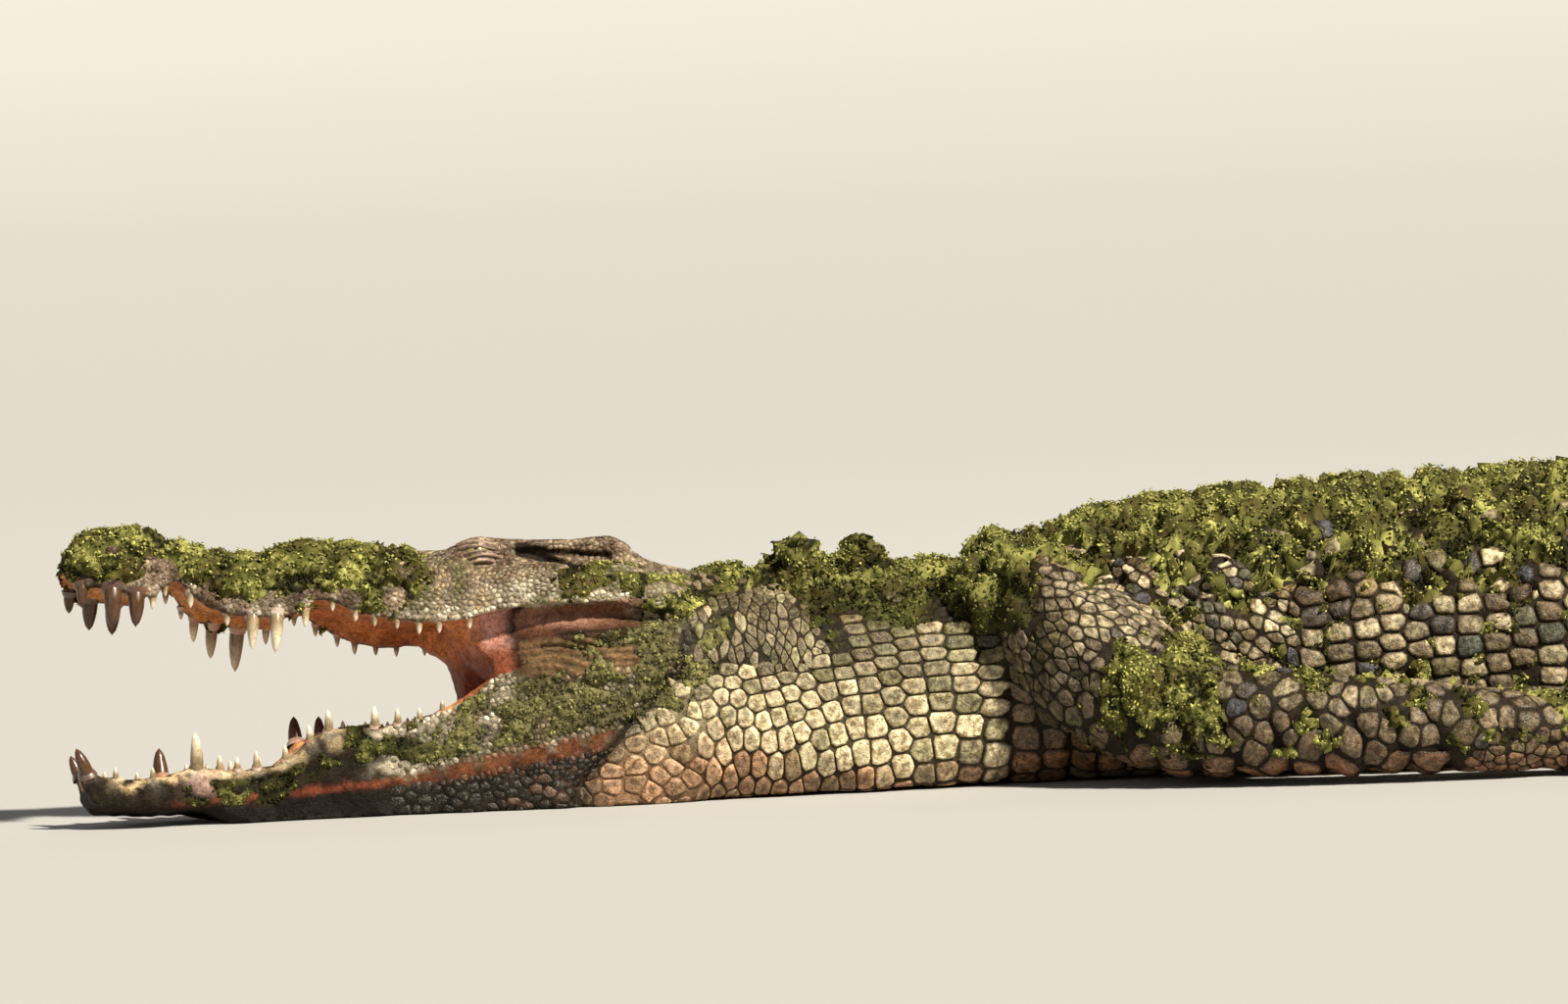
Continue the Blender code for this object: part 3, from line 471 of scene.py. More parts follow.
print("girth of the trunk:", round(2 * float(body_half_width(1.6) + body_top(1.6)), 2), "m or more")

# %% Joints of the limbs
# x, y, z, half width and half depth, from inside the body to the wrist or ankle
FORE_LEFT = [
    (-0.490, -0.070, 0.150, 0.046, 0.052),
    (-0.450, -0.124, 0.182, 0.060, 0.072),
    (-0.385, -0.186, 0.134, 0.062, 0.080),
    (-0.295, -0.243, 0.076, 0.056, 0.068),
    (-0.200, -0.280, 0.064, 0.050, 0.058),
    (-0.100, -0.302, 0.058, 0.047, 0.053),
    (0.000, -0.308, 0.051, 0.045, 0.047),
    (0.100, -0.298, 0.042, 0.040, 0.038),
]
FORE_RIGHT = [
    (-0.490, 0.070, 0.150, 0.046, 0.052),
    (-0.450, 0.124, 0.182, 0.060, 0.072),
    (-0.390, 0.188, 0.134, 0.062, 0.080),
    (-0.305, 0.250, 0.075, 0.056, 0.067),
    (-0.220, 0.298, 0.063, 0.050, 0.057),
    (-0.130, 0.330, 0.056, 0.047, 0.051),
    (-0.040, 0.348, 0.048, 0.045, 0.044),
    (0.050, 0.354, 0.039, 0.040, 0.035),
]
HIND_LEFT = [
    (0.505, -0.020, 0.125, 0.055, 0.065),
    (0.490, -0.085, 0.140, 0.075, 0.080),
    (0.440, -0.185, 0.135, 0.082, 0.088),
    (0.360, -0.290, 0.108, 0.068, 0.078),
    (0.315, -0.362, 0.085, 0.054, 0.062),
    (0.375, -0.405, 0.062, 0.048, 0.054),
    (0.450, -0.418, 0.046, 0.042, 0.044),
    (0.520, -0.425, 0.033, 0.036, 0.034),
]
HIND_RIGHT = [(x + 0.03, -y + 0.01, z, w, d) for x, y, z, w, d in HIND_LEFT]
PALM_LENGTH = {"hand": 0.070, "foot": 0.105}
PALM_PLAN = ((0.0, 0.90, 0.90), (0.3, 1.10, 0.75), (0.7, 1.30, 0.56), (1.05, 1.15, 0.40))  # place, width, depth
DIGIT_RADIUS = {"hand": 0.0145, "foot": 0.017}
DIGIT_PLAN = ((-0.25, 0.018, 1.15), (0.15, 0.020, 1.1), (0.6, 0.016, 1.0), (1.0, 0.009, 0.72))  # place, height, width
HAND_DIGITS = [(-48, 0.052), (-24, 0.074), (0, 0.082), (22, 0.072), (44, 0.052)]  # angle and length
FOOT_DIGITS = [(-26, 0.082), (-8, 0.108), (10, 0.116), (28, 0.096)]
CLAWED = 3
CLAW_LENGTH = {"hand": 0.024, "foot": 0.030}
LIMBS = (
    ("front_left", FORE_LEFT, ("upper_arm", "forearm", "hand"), -6, 1),
    ("front_right", FORE_RIGHT, ("upper_arm", "forearm", "hand"), 14, -1),
    ("hind_left", HIND_LEFT, ("thigh", "shank", "foot"), -62, -1),
    ("hind_right", HIND_RIGHT, ("thigh", "shank", "foot"), 50, 1),
)


def through(joints, share):
    """Points on the smooth curve through the joints, at shares of their count."""
    joints = np.array(joints, float)
    at = np.clip(share, 0, 1) * (len(joints) - 1)
    i = np.minimum(at.astype(int), len(joints) - 2)
    t = (at - i)[:, None]
    a, b, c, d = (joints[np.clip(i + k, 0, len(joints) - 1)] for k in (-1, 0, 1, 2))
    return 0.5 * (2 * b + (c - a) * t + (2 * a - 5 * b + 4 * c - d) * t**2 + (3 * b - a - 3 * c + d) * t**3)


def limb_rings(joints, rings, points, start=0.0, end=1.0):
    """Rings of a limb, palm, digit or claw, each an oval square to the joints' curve."""
    share = np.linspace(start, end, rings)
    joint = through(joints, share)
    along = unit(through(joints, share + 0.02)[:, :3] - through(joints, share - 0.02)[:, :3])
    side = unit(np.cross(along, [0, 0, 1.0]))
    up = np.cross(side, along)
    turn = (np.arange(points) + 0.5) * 2 * math.pi / points
    made = joint[:, None, :3] + (side * joint[:, 3:4])[:, None] * np.cos(turn)[None, :, None]
    made = made + (up * joint[:, 4:5])[:, None] * np.sin(turn)[None, :, None]
    made[..., 2] = np.maximum(made[..., 2], 0.0)
    return made


def palm_joints(limb, kind, turn):
    """Joints of a palm or sole, which starts at the limb's last joint."""
    x, y, _, width, depth = limb[-1]
    out = np.array([math.cos(math.radians(turn)), math.sin(math.radians(turn))])
    joints = []
    for share, wide, deep in PALM_PLAN:
        spot = np.array([x, y]) + out * PALM_LENGTH[kind] * share
        joints.append((*spot, depth * deep - 0.004, width * wide, depth * deep))
    return joints


def digit_joints(limb, kind, turn, inner):
    """For each digit its joints, its direction and whether it has a claw."""
    wrist, radius = np.array(limb[-1][:2]), DIGIT_RADIUS[kind]
    for number, (angle, length) in enumerate(HAND_DIGITS if kind == "hand" else FOOT_DIGITS):
        bearing = math.radians(turn) - inner * math.radians(angle)
        out = np.array([math.cos(bearing), math.sin(bearing)])
        start = wrist + out * PALM_LENGTH[kind] * (0.86 if abs(angle) < 40 else 0.70)
        joints = []
        for share, height, width in DIGIT_PLAN:
            joints.append((*(start + out * length * share), height, radius * width, radius * width * 0.9))
        yield joints, out, number < CLAWED


print("limbs:", [limb[0] for limb in LIMBS])

# %% [markdown]
# ## One skin
# Real skin has no seam at the neck or the shoulder. So fine tubes for the jaws, the body and the limbs are laid
# into each other, and a voxel remesh melts them into a single closed surface. Voxels have one size
# everywhere, but the head needs finer ones than the trunk. The trick is to enlarge the head before the
# remesh, and to bring it back to size afterwards.

# %% Tubes
RING_GAP = 0.004  # between sections of the head
BODY_RING_GAP = 0.008


def tube_faces(rings, points, first):
    """Quads of a tube whose vertices start at first, and triangles that close it on its two last vertices."""
    at = first + np.arange(rings * points).reshape(rings, points)
    turned = np.roll(at, -1, axis=1)
    quads = np.stack([at[:-1], turned[:-1], turned[1:], at[1:]], -1).reshape(-1, 4).tolist()
    start, end = first + rings * points, first + rings * points + 1
    caps = [(start, b, a) for a, b in zip(at[0].tolist(), turned[0].tolist())]
    caps += [(end, a, b) for a, b in zip(at[-1].tolist(), turned[-1].tolist())]
    return quads + caps


def join_tubes(name, tubes):
    """One mesh object of several closed tubes, each given as rings of points."""
    corners, faces, first = [], [], 0
    for rings in tubes:
        rings = np.asarray(rings, float)
        count, points = rings.shape[:2]
        corners += [rings.reshape(-1, 3), rings[0].mean(0)[None], rings[-1].mean(0)[None]]
        faces += tube_faces(count, points, first)
        first += count * points + 2
    mesh = bpy.data.meshes.new(name)
    mesh.from_pydata(np.concatenate(corners).tolist(), [], faces)
    made = bpy.data.objects.new(name, mesh)
    bpy.context.scene.collection.objects.link(made)
    bpy.ops.object.select_all(action="DESELECT")
    made.select_set(True)
    bpy.context.view_layer.objects.active = made
    bpy.ops.object.mode_set(mode="EDIT")
    bpy.ops.mesh.select_all(action="SELECT")
    bpy.ops.mesh.normals_make_consistent(inside=False)
    bpy.ops.object.mode_set(mode="OBJECT")
    return made


tubes = [[upper_ring(s) for s in np.arange(0.0, HEAD_END + 0.012, RING_GAP)]]
tubes.append([lower_ring(s) for s in np.arange(0.004, HEAD_END + 0.010, RING_GAP)])
tubes.append([corner_ring(share) for share in np.linspace(0, 1, 40)])
body_turns = np.linspace(0, 2 * math.pi, 120, endpoint=False)[None]
tubes.append(around_body(np.arange(HEAD_END - 0.010, TOTAL_LENGTH + 0.001, BODY_RING_GAP)[:, None], body_turns))
for prefix, limb, names, turn, inner in LIMBS:
    kind = names[-1]
    tubes.append(limb_rings(limb, 40, 36))
    tubes.append(limb_rings(palm_joints(limb, kind, turn), 14, 32))
    tubes += [limb_rings(joints, 14, 18) for joints, out, clawed in digit_joints(limb, kind, turn, inner)]
skin = join_tubes("skin", tubes)
print("skin before remeshing:", len(tubes), "tubes,", len(skin.data.vertices), "vertices")


# %% Melting the tubes together
def get_points(mesh):
    flat = np.empty(len(mesh.vertices) * 3, np.float32)
    mesh.vertices.foreach_get("co", flat)
    return flat.reshape(-1, 3).astype(float)


def set_points(mesh, points):
    mesh.vertices.foreach_set("co", np.asarray(points, np.float32).ravel())
    mesh.update()


def get_normals(mesh):
    flat = np.empty(len(mesh.vertices) * 3, np.float32)
    mesh.vertex_normals.foreach_get("vector", flat)
    return flat.reshape(-1, 3).astype(float)


def get_edges(mesh):
    flat = np.empty(len(mesh.edges) * 2, np.int32)
    mesh.edges.foreach_get("vertices", flat)
    return flat.reshape(-1, 2)


VOXEL = 0.0058
HEAD_DETAIL = 2.0  # how much larger the head is while it is remeshed
DETAIL_ENDS = (0.66, 0.95)

detail = 1 + (HEAD_DETAIL - 1) * (1 - ramp(MIDLINE_S, *DETAIL_ENDS))
detail_walk = np.cumsum(detail) * MIDLINE_STEP


def enlarged(points):
    s, v, z = locate(points)
    size = np.interp(s, MIDLINE_S, detail)
    return np.stack([np.interp(s, MIDLINE_S, detail_walk), size * v, size * z], 1)


def restored(points):
    s = np.interp(points[:, 0], detail_walk, MIDLINE_S)
    size = np.interp(s, MIDLINE_S, detail)
    return place(s, points[:, 1] / size, points[:, 2] / size)


set_points(skin.data, enlarged(get_points(skin.data)))
melt = skin.modifiers.new("melt", "REMESH")
melt.mode = "VOXEL"
melt.voxel_size = VOXEL
bpy.ops.object.modifier_apply(modifier="melt")
set_points(skin.data, restored(get_points(skin.data)))


def relaxed(points, edges, weight, times):
    """Points drawn towards the middle of their neighbours, by a weight that each point has."""
    count = np.bincount(edges.ravel(), minlength=len(points))[:, None]
    for _ in range(times):
        middle = np.zeros_like(points)
        for k in range(3):
            middle[:, k] += np.bincount(edges[:, 0], points[edges[:, 1], k], len(points))
            middle[:, k] += np.bincount(edges[:, 1], points[edges[:, 0], k], len(points))
        points = points + (middle / np.maximum(count, 1) - points) * weight[:, None]
    return points


skin_points = get_points(skin.data)
skin_edges = get_edges(skin.data)
s, v, z = locate(skin_points)
everywhere = np.full(len(s), 0.5)
skin_points = relaxed(skin_points, skin_edges, everywhere, 3)
behind_jaw = 0.6 * window(s, 0.57, 0.61, 0.65, 0.70)
skin_points = relaxed(skin_points, skin_edges, behind_jaw, 90)
corner = 0.5 * window(s, 0.40, 0.43, 0.48, 0.52) * window(z, 0.10, 0.125, 0.175, 0.190)
skin_points = relaxed(skin_points, skin_edges, corner, 24)
set_points(skin.data, skin_points)
print("skin:", len(skin_points), "vertices in one surface")

# %% [markdown]
# ## Where the weed lies
# The animal came out of the water under a mat of small floating weed. It lies thick on the snout, the
# neck and the back, and in tatters on the cheek, the lower jaw and the arm. The skin, the scales and the weed
# all need to know where, so that is worked out once, from windows along the body and up its side, with a
# soft irregular noise to fray their edges.


# %% Weed cover
def lumps(points, size, seed, waves=10):
    """A smooth irregular noise from about -1 to 1 with features of about the given size."""
    waver = np.random.default_rng(seed)
    ways = waver.normal(size=(waves, 3))
    ways *= (2 * math.pi / size) * waver.uniform(0.6, 1.5, (waves, 1)) / np.linalg.norm(ways, axis=1, keepdims=True)
    total = np.zeros(len(points))
    for way, phase in zip(ways, waver.uniform(0, 2 * math.pi, waves)):
        total += np.cos(points @ way + phase)
    return total / math.sqrt(waves / 2)


def crease_at(z):
    """Where the crease between the jaw and the neck runs, at each height."""
    return np.interp(z, [0.0, 0.018, 0.110, 0.150, 0.300], [0.505, 0.520, 0.605, 0.625, 0.625])


def jaw_stripe(s):
    """The height of the red stripe along the foot of the lower jaw."""
    return np.interp(s, [0.0, 0.10, 0.35, 0.50, 0.60], [0.014, 0.012, 0.022, 0.042, 0.055])


def share_up(s, z):
    """How far up its side a point is: 0 at the lip or the floor, and 1 on top."""
    low = np.where(s < HEAD_END, np.where(z > JAWS_PART, lip(s), 0.0), 0.0)
    top = np.where(s < HEAD_END, np.where(z > JAWS_PART, snout_top(s), jaw_rim(s)), body_top(s))
    return (z - low) / np.maximum(top - low, 1e-3)


def weed_on_head(s, side, z, fray, high):
    """Patches on the snout, but for its nostrils and two stretches of lip, and behind the eye."""
    low_edge = 0.27 - 0.20 * window(s, 0.17, 0.20, 0.29, 0.33) - 0.12 * (1 - ramp(s, 0.02, 0.06))
    snout = window(s + 0.10 * fray, -0.2, -0.15, 0.345, 0.385) * (z > JAWS_PART)
    snout = snout * ramp(high + fray - low_edge, -0.06, 0.08)
    nostrils = bump(s, 0.052, 0.020) * bump(side, 0.017, 0.014) * ramp(high, 0.9, 1.0)
    bare_lip = bump(s, 0.100, 0.026) + bump(s, 0.208, 0.030)
    snout = snout * (1 - nostrils) * (1 - 0.9 * bare_lip * (1 - ramp(high + 0.4 * fray, 0.26, 0.44)))
    cheek = window(s, 0.47, 0.51, 0.66, 0.72) * window(z, 0.186, 0.198, 0.225, 0.240) * ramp(side, 0.075, 0.090)
    return snout, cheek * ramp(fray, -0.25, 0.10) * 0.8


def weed_on_body(s, z, fray):
    """Patches on the neck, the shoulder and the back, and tatters on the flank."""
    neck = window(s, 0.63, 0.69, 0.985, 1.03) * ramp(z + 0.06 * fray, 0.160, 0.180)
    neck = neck * (1 - 0.9 * window(s, 0.60, 0.64, 0.73, 0.78) * (1 - ramp(z + 0.05 * fray, 0.200, 0.216)))
    shoulder = window(s, 1.00, 1.04, 1.12, 1.20) * ramp(z + 0.06 * fray, 0.215, 0.232)
    line = 0.216 - 0.020 * ramp(s, 1.10, 1.30) + 0.026 * ramp(s, 1.45, 1.70)
    back = window(s, 1.10, 1.16, 1.85, 2.15) * ramp(z + 0.16 * fray - line, -0.012, 0.016)
    flank = window(s, 1.14, 1.19, 1.50, 1.60) * window(z, 0.150, 0.165, 0.20, 0.23) * ramp(fray, 0.18, 0.34)
    return neck, shoulder, back, flank


# most cover, windows in s and z, and what part of the fraying noise is covered
CORNER_WEED = (
    (0.8, (0.485, 0.520, 0.60, 0.62), (0.110, 0.120, 0.154, 0.164), (-0.25, 0.05)),
    (0.8, (0.560, 0.590, 0.640, 0.660), (0.140, 0.155, 0.190, 0.205), (-0.25, 0.0)),
)
# the same, with windows in x and z
ARM_WEED = (
    (1.0, (-0.235, -0.205, -0.170, -0.130), (0.075, 0.095, 0.13, 0.15), (0.0, 0.16)),
    (0.8, (-0.41, -0.39, -0.35, -0.33), (0.02, 0.04, 0.09, 0.10), (-0.1, 0.1)),
    (1.0, (-0.33, -0.31, 0.10, 0.16), (0.02, 0.04, 0.11, 0.13), (0.10, 0.26)),
)


def weed_on_jaw(s, side, z, fray):
    """A film on the lower jaw, round the corner of the mouth and behind the crease, and tatters under the rim."""
    film = window(s - crease_at(z) + 0.6, 0.36, 0.42, 0.595, 0.61) * ramp(z - jaw_stripe(s), 0.010, 0.020)
    film = 0.85 * (z <= JAWS_PART) * film * (1 - ramp(z - 0.16 * (s - 0.5), 0.112, 0.130)) * ramp(fray, -0.36, -0.02)
    behind = window(s - crease_at(z), 0.002, 0.008, 0.030, 0.060) * window(z, 0.035, 0.065, 0.17, 0.19)
    film = film + 0.8 * behind * ramp(fray, -0.22, 0.02) * ramp(side, 0.08, 0.10)
    for most, along, up, frayed in CORNER_WEED:
        film = film + most * (window(s, *along) * window(z, *up) * ramp(side, 0.08, 0.09)) * ramp(fray, *frayed)
    under_rim = jaw_rim(s) - z
    chin = window(s, 0.09, 0.12, 0.27, 0.31) * window(under_rim, 0.010, 0.016, 0.034, 0.044) * ramp(fray, -0.16, 0.10)
    back = window(s, 0.26, 0.28, 0.33, 0.36) * window(under_rim, -0.01, 0.0, 0.030, 0.045) * ramp(fray, -0.2, 0.1)
    return film, chin + back


def weed_on_arm(x, side, z, fray):
    """A thick round patch below the shoulder, and thinner ones along the arm."""
    arm = 1 - ramp(np.hypot((x + 0.300) / 0.062, (z - 0.108) / 0.046) + 1.1 * fray, 0.75, 1.05)
    for most, along, up, frayed in ARM_WEED:
        arm = arm + most * window(x, *along) * window(z, *up) * ramp(fray, *frayed)
    return arm * window(side, 0.18, 0.20, 0.45, 0.50)


def weed_cover(points, s, v, z):
    """From 0, bare, to 1, thick: the weed at each point of the skin."""
    high, side = share_up(s, z), np.abs(v)
    fray = 0.22 * lumps(points, 0.050, 1) + 0.12 * lumps(points, 0.018, 2)
    tail = window(s, 1.95, 2.15, 3.3, 4.0) * ramp(high, 0.45, 0.75) * ramp(fray, 0.20, 0.36)
    patches = weed_on_head(s, side, z, fray, high) + weed_on_body(s, z, fray) + weed_on_jaw(s, side, z, fray)
    return np.clip(sum(patches) + weed_on_arm(points[:, 0], side, z, fray) + tail, 0, 1)


def most_mat(s, z):
    """How thick the mat may grow, from a film on the jaws to a thumb's breadth on neck and back."""
    body = window(s, 0.64, 0.72, 1.9, 2.2) * ramp(z, 0.15, 0.20)
    snout = (1 - ramp(s, 0.34, 0.40)) * (z > JAWS_PART)
    return 0.0016 + 0.0064 * body + 0.004 * snout + 0.003 * ramp(s, 1.0, 1.1)


CLUMPS = ((0.62, 0.075, 3), (0.60, 0.030, 4), (0.25, 0.012, 7))  # height, size and seed


def clumps(points):
    """The mat's relief, from 0 in the creases to over 1 on the clumps, which bulge like a cauliflower's."""
    return sum(height * np.abs(lumps(points, size, seed)) for height, size, seed in CLUMPS)


def mat_depth(points, s, z, cover):
    return 1.15 * most_mat(s, z) * cover * np.clip(1.2 * (clumps(points) - 0.45), 0.03, 1.6)


s, v, z = locate(skin_points)
print("share of the skin under weed:", round(float((weed_cover(skin_points, s, v, z) > 0.5).mean()), 2))

# %% [markdown]
# ## Sculpting the folds
# The skin is drawn in a little, to make room for the scales, and then pushed and pulled along its own normals,
# as with a sculpting brush: each fold is a line in body terms with a depth and a width. The head has the eye
# sockets, the slit of the ear under the edge of the table, nostrils and the swellings over the tooth roots.
# The neck has the crease behind the jaw and the deep folds before the shoulder.


# %% Brushes
def near_line(a, b, start, end, width):
    """1 on the line from start to end in the plane of a and b, falling off smoothly to the sides."""
    (a0, b0), (a1, b1) = start, end
    length = (a1 - a0) ** 2 + (b1 - b0) ** 2
    t = np.clip(((a - a0) * (a1 - a0) + (b - b0) * (b1 - b0)) / length, 0, 1)
    off = np.hypot(a - a0 - t * (a1 - a0), b - b0 - t * (b1 - b0))
    return np.exp(-((off / width) ** 2))


# (s, length) of the teeth of each side
UPPER_LEFT_TEETH = (
    [(0.017, 0.020), (0.046, 0.036), (0.070, 0.031), (0.087, 0.012), (0.102, 0.008), (0.128, 0.014)]
    + [(0.161, 0.012), (0.186, 0.032), (0.210, 0.036), (0.241, 0.016), (0.270, 0.008), (0.293, 0.011)]
    + [(0.312, 0.010), (0.334, 0.008), (0.356, 0.012), (0.376, 0.011), (0.406, 0.009)]
)
UPPER_RIGHT_TEETH = (
    [(0.018, 0.018), (0.042, 0.030), (0.066, 0.030), (0.088, 0.010), (0.119, 0.012), (0.135, 0.010)]
    + [(0.150, 0.022), (0.170, 0.032), (0.198, 0.042), (0.228, 0.016), (0.258, 0.010), (0.280, 0.010)]
    + [(0.303, 0.010), (0.322, 0.012), (0.345, 0.009), (0.368, 0.009), (0.400, 0.008)]
)
LOWER_LEFT_TEETH = (
    [(0.014, 0.024), (0.038, 0.009), (0.075, 0.009), (0.120, 0.036), (0.144, 0.013), (0.162, 0.011)]
    + [(0.182, 0.015), (0.212, 0.013), (0.238, 0.014), (0.258, 0.020), (0.305, 0.018), (0.328, 0.014)]
    + [(0.350, 0.011), (0.373, 0.008)]
)
LOWER_RIGHT_TEETH = (
    [(0.014, 0.020), (0.040, 0.010), (0.075, 0.010), (0.101, 0.030), (0.128, 0.011), (0.150, 0.012)]
    + [(0.175, 0.014), (0.205, 0.015), (0.247, 0.026), (0.274, 0.020), (0.300, 0.014), (0.325, 0.012)]
    + [(0.350, 0.010), (0.373, 0.008)]
)
TOOTH_INSET = 0.007
TOOTH_ROWS = (
    ("upper", -1, UPPER_LEFT_TEETH),
    ("upper", 1, UPPER_RIGHT_TEETH),
    ("lower", -1, LOWER_LEFT_TEETH),
    ("lower", 1, LOWER_RIGHT_TEETH),
)


def gum_swelling(s, v, z):
    """Where each tooth's root swells the lip or the jaw."""
    swelling = np.zeros(len(s))
    for jaw, side, teeth in TOOTH_ROWS:
        for tooth_s, length in teeth:
            if jaw == "upper":
                half = float(upper_half_width(tooth_s))
                root_z, tall = float(lip_at(tooth_s, side * half)) + 0.006, 0.011
            else:
                half = float(lower_half_width(tooth_s))
                root_z, tall = float(rim_at(tooth_s, side * half)) - 0.005, 0.009
            size = 0.25 + length / 0.040
            near = np.abs(s - tooth_s) < 0.03
            hill = bump(s[near], tooth_s, 0.005 + 0.10 * length) * bump(z[near], root_z, tall)
            swelling[near] += size * hill * ramp(side * v[near], 0.3 * half, 0.7 * half)
    return np.minimum(swelling, 1.2)


def muscle_wave(points, s, z):
    """The phase of the wrinkles over the jaw muscle, which run along it."""
    return (z + 0.10 * (s - 0.5) + 0.004 * lumps(points, 0.06, 21)) * 2 * math.pi / 0.0085


def ear_slit(s, v, z):
    under_table = near_line(s, z, (0.500, 0.249), (0.562, 0.241), 0.0032)
    wedge = near_line(s, z, (0.470, 0.2520), (0.494, 0.2450), 0.0070)
    tail = near_line(s, z, (0.490, 0.2450), (0.520, 0.2300), 0.0042)
    slit = np.maximum(np.maximum(0.62 * under_table, wedge), tail)
    return slit * ramp(np.abs(v), 0.058, 0.070) * (s < 0.60)


def arm_folds(points, z, side):
    """The short upright folds along the lower edge of the arm."""
    folds = sum(bump(points[:, 0] + 0.35 * z, x, 0.0075) for x in ARM_FOLDS)
    return folds * (1 - ramp(z, 0.060, 0.090)) * ramp(side, 0.20, 0.22) * (side < 0.5)


def near_eye(points, reach):
    return np.any([np.linalg.norm(points - centre, axis=1) < reach for centre in EYE_CENTRES], axis=0)


def jaw_crease(s, side, z):
    """The crease behind the jaw, from the corner of the mouth down to the throat."""
    return bump(s, crease_at(z), 0.009) * (1 - ramp(z, 0.140, 0.160)) * ramp(side, 0.09, 0.12)


def neck_fold(s, side, z):
    """The deep upright fold where the neck ends."""
    return near_line(s, z, (0.962, 0.250), (0.958, 0.150), 0.010) * ramp(side, 0.05, 0.09)


def nostril(s, v, z):
    return bump(s, 0.052, 0.012) * bump(np.abs(v), 0.016 + 0.25 * (s - 0.052), 0.0045) * (z > 0.27)


ARM_FOLDS = (-0.312, -0.268, -0.226, -0.180, -0.136, -0.095, -0.056, -0.018)
THROAT_FOLDS = ((0.975, 0.007, 0.15), (1.048, 0.006, 0.12), (0.925, 0.003, 0.10), (0.880, 0.002, 0.09))
EYE_CENTRES = [place(EYE_AT[0], side * EYE_AT[1], EYE_AT[2]) for side in (-1, 1)]
COAT_DEPTH = 0.0035


def carved(points):
    """How far each point of the skin moves outwards."""
    s, v, z = locate(points)
    side = np.abs(v)
    head = 1 - ramp(s, 0.60, 0.66)
    move = -COAT_DEPTH * (0.35 + 0.65 * ramp(s, 0.60, 0.75))
    move -= 0.8 * most_mat(s, z) * weed_cover(points, s, v, z)
    move += 0.0035 * gum_swelling(s, v, z)
    move -= 0.013 * ear_slit(s, v, z) + 0.008 * nostril(s, v, z)
    move += 0.0035 * near_line(s, z, (0.462, 0.240), (0.505, 0.229), 0.0060) * ramp(side, 0.058, 0.070)
    for centre in EYE_CENTRES:
        off = np.linalg.norm(points - centre, axis=1)
        move -= 0.004 * np.exp(-((off / 0.018) ** 4))
    move += 0.0030 * near_line(s, z, (0.395, 0.266), (0.460, 0.267), 0.006) * bump(side, 0.058, 0.016)
    move += 0.0040 * bump(s, 0.466, 0.016) * ramp(z, 0.248, 0.256) * bump(side, 0.050, 0.030)
    move -= 0.010 * jaw_crease(s, side, z)
    # wrinkles in the muscle behind the mouth
    muscle = window(s, 0.445, 0.465, 0.60, 0.64) * window(z, 0.100, 0.118, 0.150, 0.166) * ramp(side, 0.080, 0.10)
    move += muscle * (0.0030 + 0.0018 * np.sin(muscle_wave(points, s, z)))
    # folds before and over the shoulder
    move -= 0.013 * neck_fold(s, side, z)
    for fold_s, depth, top in THROAT_FOLDS:
        move -= depth * bump(s, fold_s, 0.006) * (1 - ramp(z, top, top + 0.03)) * ramp(side, 0.10, 0.13)
    move -= 0.004 * near_line(s, z, (1.010, 0.122), (1.120, 0.118), 0.005) * ramp(side, 0.12, 0.15)
    move -= 0.004 * near_line(s, z, (1.075, 0.232), (1.215, 0.136), 0.008) * ramp(side, 0.13, 0.15) * (side < 0.3)
    move -= 0.0060 * arm_folds(points, z, side)
    # the throat's folds
    throat = window(s, 0.20, 0.26, 0.60, 0.66) * (1 - ramp(z, 0.020, 0.036))
    move += 0.0012 * throat * np.sin(side * 2 * math.pi / 0.012)
    # unevenness everywhere
    move += 0.0008 * lumps(points, 0.060, 5) + 0.0004 * head * lumps(points, 0.016, 6)
    return move


set_points(skin.data, skin_points)
skin_normals = get_normals(skin.data)
skin_points = skin_points + skin_normals * carved(skin_points)[:, None]
FLOOR_GAP = 0.0016  # the belly scales are this thick underneath
skin_points[:, 2] = np.maximum(skin_points[:, 2], FLOOR_GAP)
set_points(skin.data, skin_points)
fine_points = skin_points
fine_normals = get_normals(skin.data)
fine_faces = np.array([list(face.vertices) for face in skin.data.polygons])
print("deepest fold:", round(float(-carved(fine_points).min()) * 1000, 1), "mm")

# %% [markdown]
# The remesh gives equal squares all over, far more than the smooth flanks need. Decimate merges the ones that
# lie flat and keeps those that carry a fold, so the skin stays light.

# %% Thinning the skin
SKIN_TRIANGLES = 190000
thin = skin.modifiers.new("thin", "DECIMATE")
thin.ratio = SKIN_TRIANGLES / (2 * len(fine_faces))
bpy.context.view_layer.objects.active = skin
bpy.ops.object.modifier_apply(modifier="thin")
skin.data.shade_smooth()
skin_points = get_points(skin.data)
skin_normals = get_normals(skin.data)
print("skin:", len(skin.data.polygons), "faces")

# %% [markdown]
# ## Colours of the hide
# The colours are laid out as a painter would block them in: one function takes places on the body and gives
# the hide's colour there, from a palette of named tones and windows along the body. Skin and scales both ask
# it, so they carry the same markings. The finer mottling, stains and cracks are left to the material.

# %% Palette and markings
# the tones, as red, green and blue
CREAM = (0.66, 0.55, 0.34)
TAN = (0.50, 0.35, 0.16)
BROWN = (0.125, 0.078, 0.040)
SLATE = (0.036, 0.041, 0.052)
MOSS = (0.135, 0.150, 0.045)
GREY = (0.26, 0.215, 0.145)
PINK = (0.38, 0.25, 0.18)
SALMON = (0.56, 0.225, 0.085)
BONE = (0.66, 0.58, 0.44)
RUST = (0.36, 0.155, 0.06)
LILAC = (0.48, 0.30, 0.30)


